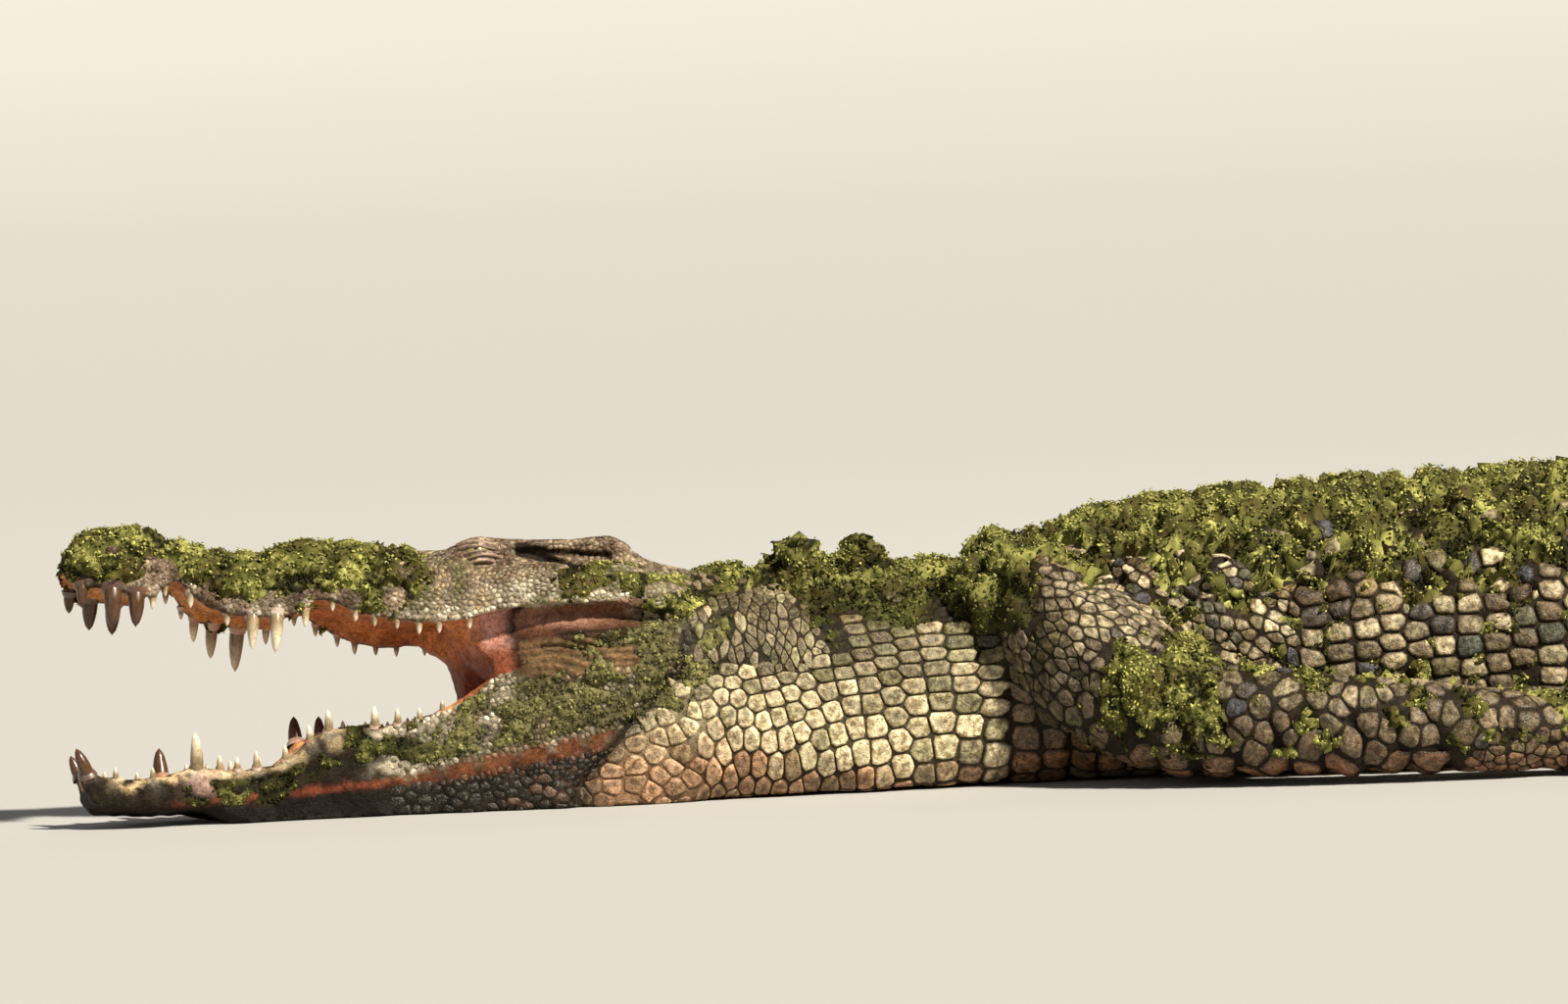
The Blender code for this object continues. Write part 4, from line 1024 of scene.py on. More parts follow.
DUST = (0.26, 0.105, 0.048)  # red earth along the foot of the neck
MUD = (0.26, 0.10, 0.045)  # and on the hands and feet
NAPE = (0.090, 0.070, 0.030)
# painted shade in the folds between the neck and the arm
BAND_SHADE = (0.045, 0.024, 0.012)
# painted shade in folds, slits and creases
CREASE_SHADE = (0.012, 0.009, 0.006)
HEAD_TAN = (0.36, 0.27, 0.165)
# painted shade low on the snout, between the tooth roots
SNOUT_SHADE = (0.060, 0.026, 0.014)  # between the tooth roots
SNOUT_SPOT = (0.055, 0.032, 0.018)
# painted shade at the tip of the snout
SNOUT_TIP_SHADE = (0.035, 0.020, 0.012)
RIDGE_DARK = (0.060, 0.032, 0.016)
ROOT_PALE = (0.50, 0.42, 0.34)
JAW_FRONT = (0.012, 0.007, 0.004)
# painted shade on the foot of the jaw
JAW_FOOT_SHADE = (0.010, 0.007, 0.005)
JAW_FOOT_SPOT = (0.30, 0.17, 0.12)
# painted shade at the tip of the jaw
JAW_TIP_SHADE = (0.030, 0.022, 0.014)
RIM_CREAM = (0.66, 0.48, 0.26)
RIM_PINK = (0.52, 0.33, 0.28)
STRIPE_FRONT = (0.16, 0.040, 0.018)
# the stripe's red, darkened behind by painted shade
STRIPE_BACK_SHADED = (0.25, 0.080, 0.032)
# red-brown flesh darkened by painted shade
CHEEK_HOLLOW_SHADED = (0.150, 0.052, 0.024)
CHEEK_FLESH = (0.50, 0.25, 0.17)
CHEEK_SHADOW = (0.012, 0.008, 0.006)
MUSCLE = (0.40, 0.21, 0.10)
PALATE_TONE = (0.56, 0.27, 0.09)
THROAT = (0.30, 0.060, 0.022)
LINING_RED = (0.45, 0.16, 0.08)
# dark red, darkened by painted shade, low at the back of the web
LINING_FOOT_SHADED = (0.17, 0.050, 0.026)
# painted shade at the back edge of the lining
LINING_END_SHADE = (0.020, 0.010, 0.007)
# painted shade on the skin in the grooves between the scales
GROOVE_SHADE = (0.012, 0.008, 0.005)
# the weed's green, darkened with painted shade, on the skin under the mat
UNDER_WEED_SHADE = (0.020, 0.020, 0.006)
WEED_STAIN = (0.055, 0.052, 0.018)  # on the scales beside the weed
HIDE_NOISES = ((0.16, 31), (0.045, 32), (0.016, 33), (0.0075, 34), (0.0045, 35))  # size and seed
WEB_SHADOWS = (  # lines in s and z, with their widths
    ((0.495, 0.158), (0.625, 0.150), 0.0060),
    ((0.462, 0.128), (0.490, 0.118), 0.0075),
    ((0.460, 0.156), (0.458, 0.122), 0.0060),
)


def toward(colours, other, share):
    """Colours drawn to another by a share, which is one number or one for each."""
    return colours + (np.array(other) - colours) * np.reshape(np.clip(share, 0, 1), (-1, 1))


def layered(colours, *layers):
    """Colours with others laid over them in turn, each given with its share."""
    for other, share in layers:
        colours = toward(colours, other, share)
    return colours


def filled(colour, count):
    return np.tile(np.array(colour), (count, 1))


def share_of_top(s, z):
    """Height as a share of the body's own height there."""
    return z / np.maximum(body_top(s), 0.02)


def limb_share(s, side):
    """1 on the limbs and 0 on the body."""
    return ramp(side - body_half_width(s), -0.012, 0.004) * (s > 0.98)


def in_mouth(normals, s, v, z):
    """1 on the lining of the mouth: the palate, the floor, and the hollow of its corner."""
    side = np.abs(v)
    roof, ground = palate(s, v), mouth_floor(s, v)
    inner_high = upper_half_width(s) - 0.010
    inner_low = lower_half_width(s) - 0.014
    on_roof = (side < inner_high) & (np.abs(z - roof) < 0.010) & (normals[:, 2] < 0.2) & (s < 0.46)
    on_ground = (side < inner_low) & (z < ground + 0.010) & (z > ground - 0.012)
    on_ground &= (normals[:, 2] > -0.2) & (s < 0.50)
    between = (z > ground - 0.004) & (z < roof + 0.004)
    web = between & (side < np.minimum(inner_high, inner_low) + 0.012) & (s > CHEEK_TOP - 0.01) & (s < 0.455)
    return ((on_roof | on_ground | web) & (s < HEAD_END)).astype(float)


def shaded_band(s, v, z):
    """1 in the folds between the neck and the arm, which are painted with shade."""
    return window(s, 0.966, 0.978, 1.07, 1.16) * (1 - ramp(z, 0.115, 0.150)) * (np.abs(v) < 0.27)


def body_paint(s, v, z, broad, middle, small):
    """Neck, trunk and tail: dark above, pale below, with red earth at the foot of the neck, painted shade in the
    folds before the arm, and a banded tail.
    """
    rise = share_of_top(s, z)
    trunk = window(s, 1.00, 1.10, 2.0, 2.25)
    colours = layered(
        filled(TAN, len(s)),
        (GREY, 0.4 + 0.3 * middle),
        (BROWN, ramp(rise + 0.10 * middle, 0.55, 0.90) * 0.70),
        (CREAM, (1 - ramp(rise + 0.06 * broad, 0.10, 0.42)) * 0.5),
        (BROWN, 0.70 * trunk * ramp(small + 0.5 * middle, -0.7, 0.5)),
    )
    colours = colours * (1 - 0.50 * trunk * ramp(rise, 0.1, 0.3))[:, None]
    neck = window(s, crease_at(z) - 0.01, crease_at(z) + 0.01, 0.99, 1.01)
    neck = neck * (1 - ramp(z + 0.010 * middle, 0.125, 0.165))
    colours = toward(colours, CREAM, 0.95 * neck)
    colours = colours * (1 - 0.30 * neck * ramp(z + 0.006 * middle, 0.055, 0.110))[:, None]
    dusty = 1 - ramp(z + 0.006 * middle, 0.008, 0.024 + 0.050 * (1 - ramp(s, 0.58, 0.76)))
    upper_neck = window(s, 0.60, 0.64, 0.98, 1.0) * ramp(z + 0.008 * middle + 0.10 * (0.8 - s), 0.100, 0.125)
    shade = shaded_band(s, v, z)
    bands = ramp(np.sin(s * 2 * math.pi / 0.26 + 0.6 * broad), 0.1, 0.6) * ramp(s, 2.05, 2.3)
    return layered(
        colours,
        (MOSS, 0.45 * neck * ramp(middle + 0.5 * small, 0.45, 1.1) * ramp(s, 0.8, 0.9)),
        (DUST, 0.80 * dusty * window(s, 0.50, 0.52, 0.99, 1.01)),
        (NAPE, 0.94 * upper_neck),
        (CREAM, 0.35 * upper_neck * ramp(small, 0.2, 1.0)),
        # painted shade in the folds between the neck and the arm
        (BAND_SHADE, 0.92 * shade),
        (RUST, 0.4 * shade * (1 - ramp(z, 0.03, 0.06))),
        (SLATE, 0.65 * bands * ramp(rise, 0.15, 0.4)),
    )


def limb_paint(z, broad, middle, small):
    """Greenish brown with pale and dark spots, darker brown low down as painted shade under the limb, and muddy where
    it touches the ground.
    """
    limb = layered(
        filled(GREY, len(z)),
        (PINK, 0.30 + 0.3 * middle),
        (SLATE, ramp(small + 0.8 * broad, 0.6, 1.3) * 0.30),
        (CREAM, 0.45 * ramp(small - middle, 0.2, 1.1)),
        (MOSS, 0.65 * ramp(middle + 0.4 * small, 0.0, 0.8)),
        (BROWN, 0.45),
    )
    return layered(
        limb * 0.66,
        # painted shade under the limb
        (BROWN, 0.75 * (1 - ramp(z + 0.012 * middle, 0.045, 0.085))),
        (MUD, 0.55 * (1 - ramp(z, 0.012, 0.036))),
    )


def head_paint(s, z, roots, broad, middle, small, speck, fine):
    """The upper head: grey-brown and pinkish on top, whitish and speckled along the lip, with painted shade low
    between the tooth roots and at the tip.
    """
    edge = 1 - ramp(z - lip(s) + 0.006 * middle, 0.010, 0.044)
    snout = 1 - ramp(s, 0.30, 0.38)
    ridges = ramp(np.sin(z * 2 * math.pi / 0.0062 + 3.0 * broad), 0.2, 0.9) * window(s, 0.37, 0.40, 0.58, 0.60)
    return layered(
        filled(HEAD_TAN, len(s)),
        (GREY, 0.5 + 0.4 * middle),
        (PINK, 0.6 * ramp(middle, -0.2, 0.8) * ramp(z, 0.225, 0.245)),
        (BROWN, 0.85 * ramp(small + 0.5 * middle + 0.8 * speck, -0.4, 0.7)),
        (MOSS, 0.50 * ramp(broad + middle, 0.0, 1.0) * (1 - ramp(z, 0.240, 0.250))),
        (BONE, 0.85 * edge * ramp(small + 0.9 * speck, -0.3, 0.7)),
        # painted shade between the tooth roots
        (SNOUT_SHADE, 0.85 * snout * (1 - roots) * (1 - ramp(z - lip(s), 0.012, 0.040))),
        (ROOT_PALE, 0.9 * roots * ramp(speck + 0.9 * fine, -0.4, 0.5) * ramp(lip(s) - z, -0.030, -0.016)),
        (SNOUT_SPOT, 0.85 * snout * ramp(small + 0.6 * speck - 0.4 * roots, 0.1, 0.7)),
        # painted shade at the tip
        (SNOUT_TIP_SHADE, 0.8 * (1 - ramp(s, 0.030, 0.060))),
        (RIDGE_DARK, 0.7 * ridges * ramp(z, 0.235, 0.245)),
    )


def jaw_paint(s, z, roots, middle, small, speck):
    """The lower jaw: mossy behind and dark in front, with a cream rim, a red stripe darkened behind by painted shade,
    and painted shade on its foot and at its tip.
    """
    under_rim, above = jaw_rim(s) - z, z - jaw_stripe(s)
    rim = 1 - ramp(under_rim + 0.005 * middle, 0.009, 0.017)
    rim = rim * (window(s, 0.02, 0.05, 0.32, 0.38) - 0.55 * ramp(s, 0.13, 0.17))
    pale = window(s, 0.29, 0.32, 0.41, 0.45) * window(under_rim, -0.001, 0.004, 0.045, 0.060)
    foot = (1 - ramp(above, -0.004, 0.001)) * (s < 0.56)
    wide = 0.003 + 0.006 * ramp(s, 0.30, 0.40)
    stripe = ramp(wide - np.abs(above), -0.002, 0.002) * window(s, 0.08, 0.12, 0.53, 0.57)
    stripe = stripe * (1 - 0.7 * ramp(np.sin(s * 2 * math.pi / 0.036), 0.5, 0.95) * ramp(s, 0.30, 0.35))
    return layered(
        toward(filled(GREY, len(s)), MOSS, 0.55 + 0.45 * middle) * 0.72,
        (BONE, 0.45 * ramp(small + 0.7 * speck, 0.1, 1.0)),
        (BROWN, 0.65 * ramp(middle - 0.5 * small + 0.4 * speck, 0.0, 1.0)),
        (JAW_FRONT, 0.96 * (1 - ramp(s, 0.28, 0.35))),
        (RIM_CREAM, 0.95 * rim * ramp(small + 0.5 * speck, -0.7, 0.2)),
        (RIM_PINK, 0.9 * bump(s, 0.124, 0.015) * bump(under_rim, 0.014, 0.014)),
        (BONE, 0.85 * pale * ramp(speck + small, -0.9, 0.5)),
        (BONE, 0.5 * roots),
        # painted shade on the foot of the jaw
        (JAW_FOOT_SHADE, 0.97 * foot),
        (JAW_FOOT_SPOT, 0.35 * foot * ramp(speck, 0.3, 1.0) * ramp(s, 0.40, 0.47)),
        # the red stripe, darkened behind by painted shade
        (toward(filled(STRIPE_FRONT, len(s)), STRIPE_BACK_SHADED, ramp(s, 0.28, 0.42)), 0.92 * stripe),
        # painted shade at the tip
        (JAW_TIP_SHADE, 0.8 * (1 - ramp(s, 0.015, 0.045))),
    )


def cheek_layers(points, s, side, z, broad, small):
    """Under the cheek: a hollow of red-brown flesh darkened by painted shade, with a salmon band and painted shadow
    lines, over the wrinkled muscle of the jaw, whose valleys are painted with shade.
    """
    hollow = window(s, 0.44, 0.455, 0.56, 0.60) * window(z, 0.148, 0.153, 0.186, 0.192) * ramp(side, 0.06, 0.09)
    flesh = hollow * near_line(s, z, (0.455, 0.176), (0.560, 0.168), 0.0065) * (1 - ramp(s, 0.52, 0.57))
    shadow = sum(near_line(s, z, *line) for line in WEB_SHADOWS)
    muscle = window(s, 0.445, 0.460, 0.585, 0.62) * window(z, 0.108, 0.120, 0.150, 0.158) * ramp(side, 0.07, 0.09)
    return (
        # the hollow's flesh, darkened by painted shade
        (CHEEK_HOLLOW_SHADED, 0.92 * hollow),
        (CHEEK_FLESH, 0.85 * flesh),
        (CHEEK_SHADOW, 0.95 * shadow * ramp(side, 0.06, 0.09)),
        (MUSCLE, 0.80 * muscle),
        # painted shade in the valleys of the muscle's wrinkles
        (BROWN, 0.7 * muscle * ramp(np.sin(muscle_wave(points, s, z)), 0.3, -0.8)),
        (MOSS, 0.25 * muscle * ramp(small + 0.5 * broad, -0.2, 0.6)),
    )


def hide_colour(points):
    """The colour of the hide at places on the skin."""
    s, v, z = locate(points)
    side = np.abs(v)
    broad, middle, small, speck, fine = (lumps(points, size, seed) for size, seed in HIDE_NOISES)
    roots = np.minimum(gum_swelling(s, v, z), 1)
    shoulder = window(s, 1.03, 1.06, 1.20, 1.28) * window(z, 0.125, 0.145, 0.205, 0.225) * (side < 0.28)
    head = head_paint(s, z, roots, broad, middle, small, speck, fine)
    crown = np.where(((s < 0.66) & (z > 0.166))[:, None], head, jaw_paint(s, z, roots, middle, small, speck))
    # painted shade in the slit of the ear, the nostrils, the arm's folds and the creases of the jaw and the neck
    dark = 1.5 * ramp(ear_slit(s, v, z), 0.14, 0.34) + nostril(s, v, z) + ramp(arm_folds(points, z, side), 0.2, 0.6)
    dark = dark + 0.8 * jaw_crease(s, side, z) + 0.8 * neck_fold(s, side, z)
    colours = layered(
        body_paint(s, v, z, broad, middle, small),
        (limb_paint(z, broad, middle, small), limb_share(s, side)),
        (CREAM, 0.45 * shoulder * ramp(small + middle, -0.9, 0.4)),
        (crown, 1 - ramp(s - crease_at(z) + 0.006 * middle, -0.004, 0.012)),
        *cheek_layers(points, s, side, z, broad, small),
        (CREASE_SHADE, np.minimum(1.2 * dark, 0.95)),
    )
    return np.maximum(colours, 0.005)


def lining_colour(points, s, z):
    """The mouth's lining: salmon, yellower on the palate, lilac on the stretched web and dark red in the throat, with
    painted shade low at the back of the web and near black painted shade at its back edge.
    """
    web = window(s, 0.402, 0.430, 0.450, 0.465) * window(z, 0.140, 0.155, 0.185, 0.196)
    return layered(
        filled(SALMON, len(s)),
        (PALATE_TONE, ramp(0.42 - s, 0.0, 0.25) * 0.7),
        (LILAC, 0.75 * web),
        (THROAT, 0.85 * ramp(s, 0.38, 0.42) * (1 - ramp(z, 0.125, 0.155))),
        (LINING_RED, 0.25 + 0.25 * lumps(points, 0.03, 41)),
        # painted shade low at the back of the web, and at the lining's back edge
        (LINING_FOOT_SHADED, 0.85 * ramp(s, 0.400, 0.430) * (1 - ramp(z, 0.140, 0.168))),
        (LINING_END_SHADE, 0.93 * ramp(s, 0.440, 0.453)),
    )


def paint_mesh(mesh, colours):
    """A colour for each vertex, which the materials read."""
    layer = mesh.attributes.new("hide", "FLOAT_COLOR", "POINT")
    values = np.concatenate([colours, np.ones((len(colours), 1))], 1)
    layer.data.foreach_set("color", np.asarray(values, np.float32).ravel())


s, v, z = locate(skin_points)
lined = in_mouth(skin_normals, s, v, z)
skin_cover = weed_cover(skin_points, s, v, z) * (1 - lined)
groove = hide_colour(skin_points)
plated = (1 - lined) * np.maximum(ramp(np.abs(z - lip(s)), 0.004, 0.009), ramp(s, 0.60, 0.61))
plated = plated * (0.45 * ramp(s, 0.32, 0.36) + 0.47 * ramp(s, 0.60, 0.66))
lining = lining_colour(skin_points, s, z)
# the skin is painted with shade where it shows between the scales and under the weed
groove = layered(groove, (GROOVE_SHADE, plated), (UNDER_WEED_SHADE, 0.85 * skin_cover), (lining, lined))
paint_mesh(skin.data, groove)
print("lining:", int(lined.sum()), "of", len(lined), "vertices")

# %% [markdown]
# ## Where the scales sit
# On neck, trunk and tail the scales stand in columns that run round the body, one behind the other, and each
# column is cut into scales of a size that depends on the height: small ones high on the neck, large
# squares by the ground. Everywhere else they are irregular: there a dart is thrown again and again at the
# skin, and sticks only where it has room. A scale is a seed: a place, a direction, and two half sizes.

# %% Finding the skin
skin_faces = [list(face.vertices) for face in skin.data.polygons]
face_array = np.array([face[:3] for face in skin_faces])
face_normals = unit(skin_normals[face_array].mean(1))
skin_tree = BVHTree.FromPolygons(skin_points.tolist(), skin_faces)


def settle(points):
    """The nearest places on the skin, the smooth normals there, and how far off the points were."""
    found = [skin_tree.find_nearest(point) for point in points.tolist()]
    places = np.array([hit[0] for hit in found])
    return places, face_normals[[hit[2] for hit in found]], np.array([hit[3] for hit in found])


# %% Columns of scales
column_pitch = smooth_curve(
    [(0.62, 0.017), (0.72, 0.021), (0.86, 0.027), (0.95, 0.033), (1.10, 0.034), (1.22, 0.027), (1.70, 0.028)]
    + [(1.95, 0.034), (2.10, 0.056), (4.20, 0.056)]
)
neck_pitch = smooth_curve([(0.0, 0.030), (0.045, 0.032), (0.075, 0.025), (0.11, 0.020), (0.14, 0.015), (0.24, 0.022)])
trunk_pitch = smooth_curve([(0.0, 0.032), (0.05, 0.025), (0.08, 0.021), (0.18, 0.022), (0.23, 0.030), (0.30, 0.038)])
tail_pitch = smooth_curve([(1.9, 0.024), (2.4, 0.026), (3.2, 0.019), (3.8, 0.012), (4.2, 0.007)])
column_lean = smooth_curve([(0.62, 0.30), (0.74, 0.24), (0.86, 0.12), (1.00, 0.02), (1.10, 0.0), (4.2, 0.0)])
GIRTH_STEPS = 240
COLUMN_START = 0.60
JITTER = 0.10
IN_LINE = 0.86  # how straight the edges between two columns are, where 0 leaves them to the neighbours


def pitch_at(s, z):
    trunk = neck_pitch(z) + (trunk_pitch(z) - neck_pitch(z)) * ramp(s, 0.98, 1.15)
    return trunk + (tail_pitch(s) - trunk) * ramp(s, 1.95, 2.15)


def column_places():
    """Where each column stands, as far as the tip of the tail."""
    s, places = COLUMN_START, []
    while s < TAIL_START:
        places.append(s)
        s += float(column_pitch(s))
    annuli = np.arange(TAIL_START + 0.5 * ANNULUS, TOTAL_LENGTH - 0.02, ANNULUS)
    return [place for place in places if place < TAIL_START - 0.3 * ANNULUS] + annuli.tolist()


def column_seeds(column, side):
    """Seeds down one side of a column: (places, half sizes along and across, height share)."""
    pitch = float(column_pitch(column))
    turns = np.linspace(math.pi / 2, math.pi / 2 - side * math.pi, GIRTH_STEPS)
    upright = around_body(column, turns)
    lean = float(column_lean(column)) * (float(body_top(column)) * 0.45 - upright[:, 2])
    line = around_body(np.clip(column + lean, HEAD_END, TOTAL_LENGTH), turns)
    walk = np.concatenate([[0], np.cumsum(np.linalg.norm(np.diff(line, axis=0), axis=1))])
    at, found = 0.001 + 0.3 * pitch * random.random(), []
    while at < walk[-1]:
        z = float(np.interp(at, walk, line[:, 2]))
        length = float(pitch_at(column, z)) * (1 + JITTER * random.uniform(-1, 1))
        if at + length > walk[-1] + 0.4 * length:
            break
        centre = min(at + length / 2, walk[-1])
        spot = [float(np.interp(centre, walk, line[:, k])) for k in range(3)]
        spot[0] += pitch * JITTER * random.uniform(-1, 1) * (1.6 if column > 1.0 else 0.6)
        found.append((*spot, pitch / 2, length / 2))
        at += length
    return found


columns = []
for column in column_places():
    for side in (-1, 1):
        columns += column_seeds(column, side)
columns = np.array(columns)
print("scales in columns:", len(columns))


# %% Irregular scales
def on_shoulder(s, side, z):
    return (s > 0.98) & (s < 1.30) & (z > 0.09) & (side < 0.26)


def loose_half(points, s, v, z):
    """Half sizes, along and across the body, of the scales that stand in no column."""
    x, side = points[:, 0], np.abs(v)
    limb = (side > body_half_width(s) - 0.006) & (s > 1.00) & ~on_shoulder(s, side, z)
    half = np.full((len(s), 2), 0.0038)
    for there, size in (
        ((s < 0.64) & (z > JAWS_PART), (0.0026, 0.0022)),
        ((s < 0.64) & (z <= JAWS_PART), (0.0028, 0.0024)),
        ((s < 0.60) & (z <= 0.014), (0.0060, 0.0044)),
        ((s > crease_at(z) + 0.004) & (s < 0.66) & (z < 0.13), (0.0088, 0.0080)),
        ((s > 0.60) & (s < 0.76) & (z > 0.115), (0.0038, 0.0080)),
        (on_shoulder(s, side, z), (0.0072, 0.0050)),
        (limb, (0.0088, 0.0100)),
        (limb & (z < 0.045), (0.0120, 0.0150)),
        (limb & (z < 0.045) & ((np.abs(x - 0.12) < 0.12) | (x > 0.50)), (0.0056, 0.0052)),
        (near_eye(points, 0.036), (0.0030, 0.0023)),
    ):
        half[there] = size
    return half


def wants_scale(points, normals, s, v, z):
    """False where the skin stays bare: in the mouth, on its lips, on the eyelids and in the ear and nostrils."""
    bare = in_mouth(normals, s, v, z) > 0.5
    bare |= (s < 0.46) & (z > JAWS_PART) & (z < lip_at(s, v) + 0.004)
    bare |= (s < 0.46) & (z < JAWS_PART) & (z > rim_at(s, v) - 0.004)
    bare |= (s > 0.37) & (s < 0.59) & (z > 0.150) & (z < lip_at(s, v) + 0.002)
    bare |= (s > 0.440) & (s < 0.590) & (z > 0.116) & (z < 0.160)
    bare |= (ear_slit(s, v, z) > 0.22) | (nostril(s, v, z) > 0.35)
    bare |= (s < np.where(z > JAWS_PART, 0.03, 0.32)) | (arm_folds(points, z, np.abs(v)) > 0.35)
    bare |= (np.abs(z - jaw_stripe(s)) < 0.008) & (s < 0.56)
    return ~(bare | near_eye(points, 0.0215))


def scatter(points, faces, density, seed):
    """Random places on faces, about density(face centres) to the square metre, with the face each is on."""
    thrower = np.random.default_rng(seed)
    a, b, c = points[faces[:, 0]], points[faces[:, 1]], points[faces[:, 2]]
    area = 0.5 * np.linalg.norm(np.cross(b - a, c - a), axis=1)
    wanted = area * density((a + b + c) / 3)
    count = np.floor(wanted + thrower.random(len(wanted))).astype(int)
    face = np.repeat(np.arange(len(faces)), count)
    p, q = thrower.random((2, len(face), 1))
    flip = p + q > 1
    p, q = np.where(flip, 1 - p, p), np.where(flip, 1 - q, q)
    spots = a[face] + p * (b[face] - a[face]) + q * (c[face] - a[face])
    order = thrower.permutation(len(face))
    return spots[order], face[order]


DARTS = 5.0  # thrown for each scale's own area
DART_ROOM = 1.72  # distance that a scale keeps, in its own half sizes
COLUMN_SHARE = 0.45  # of a dart's half size, by which it may overlap a scale in a column
OFF_SKIN = 0.014  # a place farther than this from the skin belongs to no scale


def dart_density(centres):
    s, v, z = locate(centres)
    half = loose_half(centres, s, v, z)
    return DARTS / (4 * half[:, 0] * half[:, 1])


def lie_of(normals, s, v, z):
    """The direction in which a scale lies: back along the body, turned down over the shoulder, or down a limb."""
    turn = np.radians(heading(s))
    back = np.stack([np.cos(turn), np.sin(turn), np.zeros(len(s))], 1)
    back = back - np.array([0, 0, 0.75]) * on_shoulder(s, np.abs(v), z)[:, None]
    back -= normals * (back * normals).sum(1, keepdims=True)
    long = np.linalg.norm(back, axis=1, keepdims=True)
    spare = np.cross(normals, [0.0, 1.0, 0.3])
    return unit(np.where(long > 0.15, back, spare))


def taken(spots, half, at, along, across, at_half):
    """True where a dart falls on a scale that already stands in a column."""
    finder = finder_of(spots)
    blocked = np.zeros(len(spots), bool)
    for spot, x_way, y_way, (x_half, y_half) in zip(at.tolist(), along, across, at_half.tolist()):
        near = [j for _, j, _ in finder.find_range(spot, 1.6 * math.hypot(x_half, y_half))]
        gap = spots[near] - spot
        x = np.abs(gap @ x_way) - COLUMN_SHARE * half[near, 0]
        y = np.abs(gap @ y_way) - COLUMN_SHARE * half[near, 1]
        blocked[np.array(near, int)[(x < x_half) & (y < y_half)]] = True
    return blocked


def thin_out(spots, half):
    """Which darts stick: each keeps its distance from those that already hold, the larger the scale the more."""
    finder = finder_of(spots)
    reach = DART_ROOM * np.sqrt(half[:, 0] * half[:, 1])
    free = np.ones(len(spots), bool)
    kept = []
    for i, spot in enumerate(spots.tolist()):
        if free[i]:
            kept.append(i)
            free[[j for _, j, _ in finder.find_range(spot, float(reach[i]))]] = False
    return np.array(kept)


places, normals, off = settle(columns[:, :3])
s, v, z = locate(places)
stands = off < OFF_SKIN
stands &= ~((s < 0.765) & (z > 0.115)) & (s > 0.625)
stands &= ~((s > 0.99) & (s < 1.29) & (z > 0.10) & (z < 0.235) & (np.abs(v) > 0.10))
stands &= ~((np.abs(v) > body_half_width(s) + 0.004) & (s > 1.0))
column_at, column_normal, column_half = places[stands], normals[stands], columns[stands, 3:]
column_along = lie_of(column_normal, s[stands], v[stands], z[stands])
column_across = np.cross(column_normal, column_along)

spots, dart_face = scatter(skin_points, face_array, dart_density, 51)
dart_normal = face_normals[dart_face]
s, v, z = locate(spots)
dart_half = loose_half(spots, s, v, z)
fits = wants_scale(spots, dart_normal, s, v, z)
fits &= ~taken(spots, dart_half, column_at, column_along, column_across, column_half)
spots, dart_normal, dart_half = spots[fits], dart_normal[fits], dart_half[fits]
kept = thin_out(spots, dart_half)
print("darts that fit:", len(spots), "and kept:", len(kept))

seed_at = np.concatenate([column_at, spots[kept]])
seed_normal = np.concatenate([column_normal, dart_normal[kept]])
seed_half = np.concatenate([column_half, dart_half[kept] * random.uniform(0.9, 1.15, (len(kept), 1))])
seed_ordered = np.concatenate([np.full(len(column_at), IN_LINE), np.zeros(len(kept))])
s, v, z = locate(seed_at)
flank = window(s, 1.04, 1.12, 2.0, 2.1) * window(z, 0.03, 0.07, 0.30, 0.32)
seed_ordered = seed_ordered * (1 - 0.45 * flank)
seed_along = lie_of(seed_normal, s, v, z)
seed_across = np.cross(seed_normal, seed_along)
print("scales in all:", len(seed_at))

# %% [markdown]
# ## Growing the scales
# A scale fills the room between its neighbours, less the groove, so its outline comes from where the others
# stand. A few rings then lift it off the skin: the rim is sunk in the groove, and the middle is domed, dished
# or keeled. The rings follow the curve of the skin under them.


# %% Outlines
NEIGHBOURS = 14
SQUARENESS = 26.0
MOST_REACH = 1.8  # of an outline, in half sizes
FACING = 0.12  # cosine below which a neighbour doesn't bound a scale in that direction
LARGE_SCALE = 0.014  # half size from which grooves and keels no longer grow
GROOVE = 0.0013  # between large scales, and down to half of it between small ones

seed_finder = finder_of(seed_at)
seed_size = np.sqrt(seed_half.prod(1))


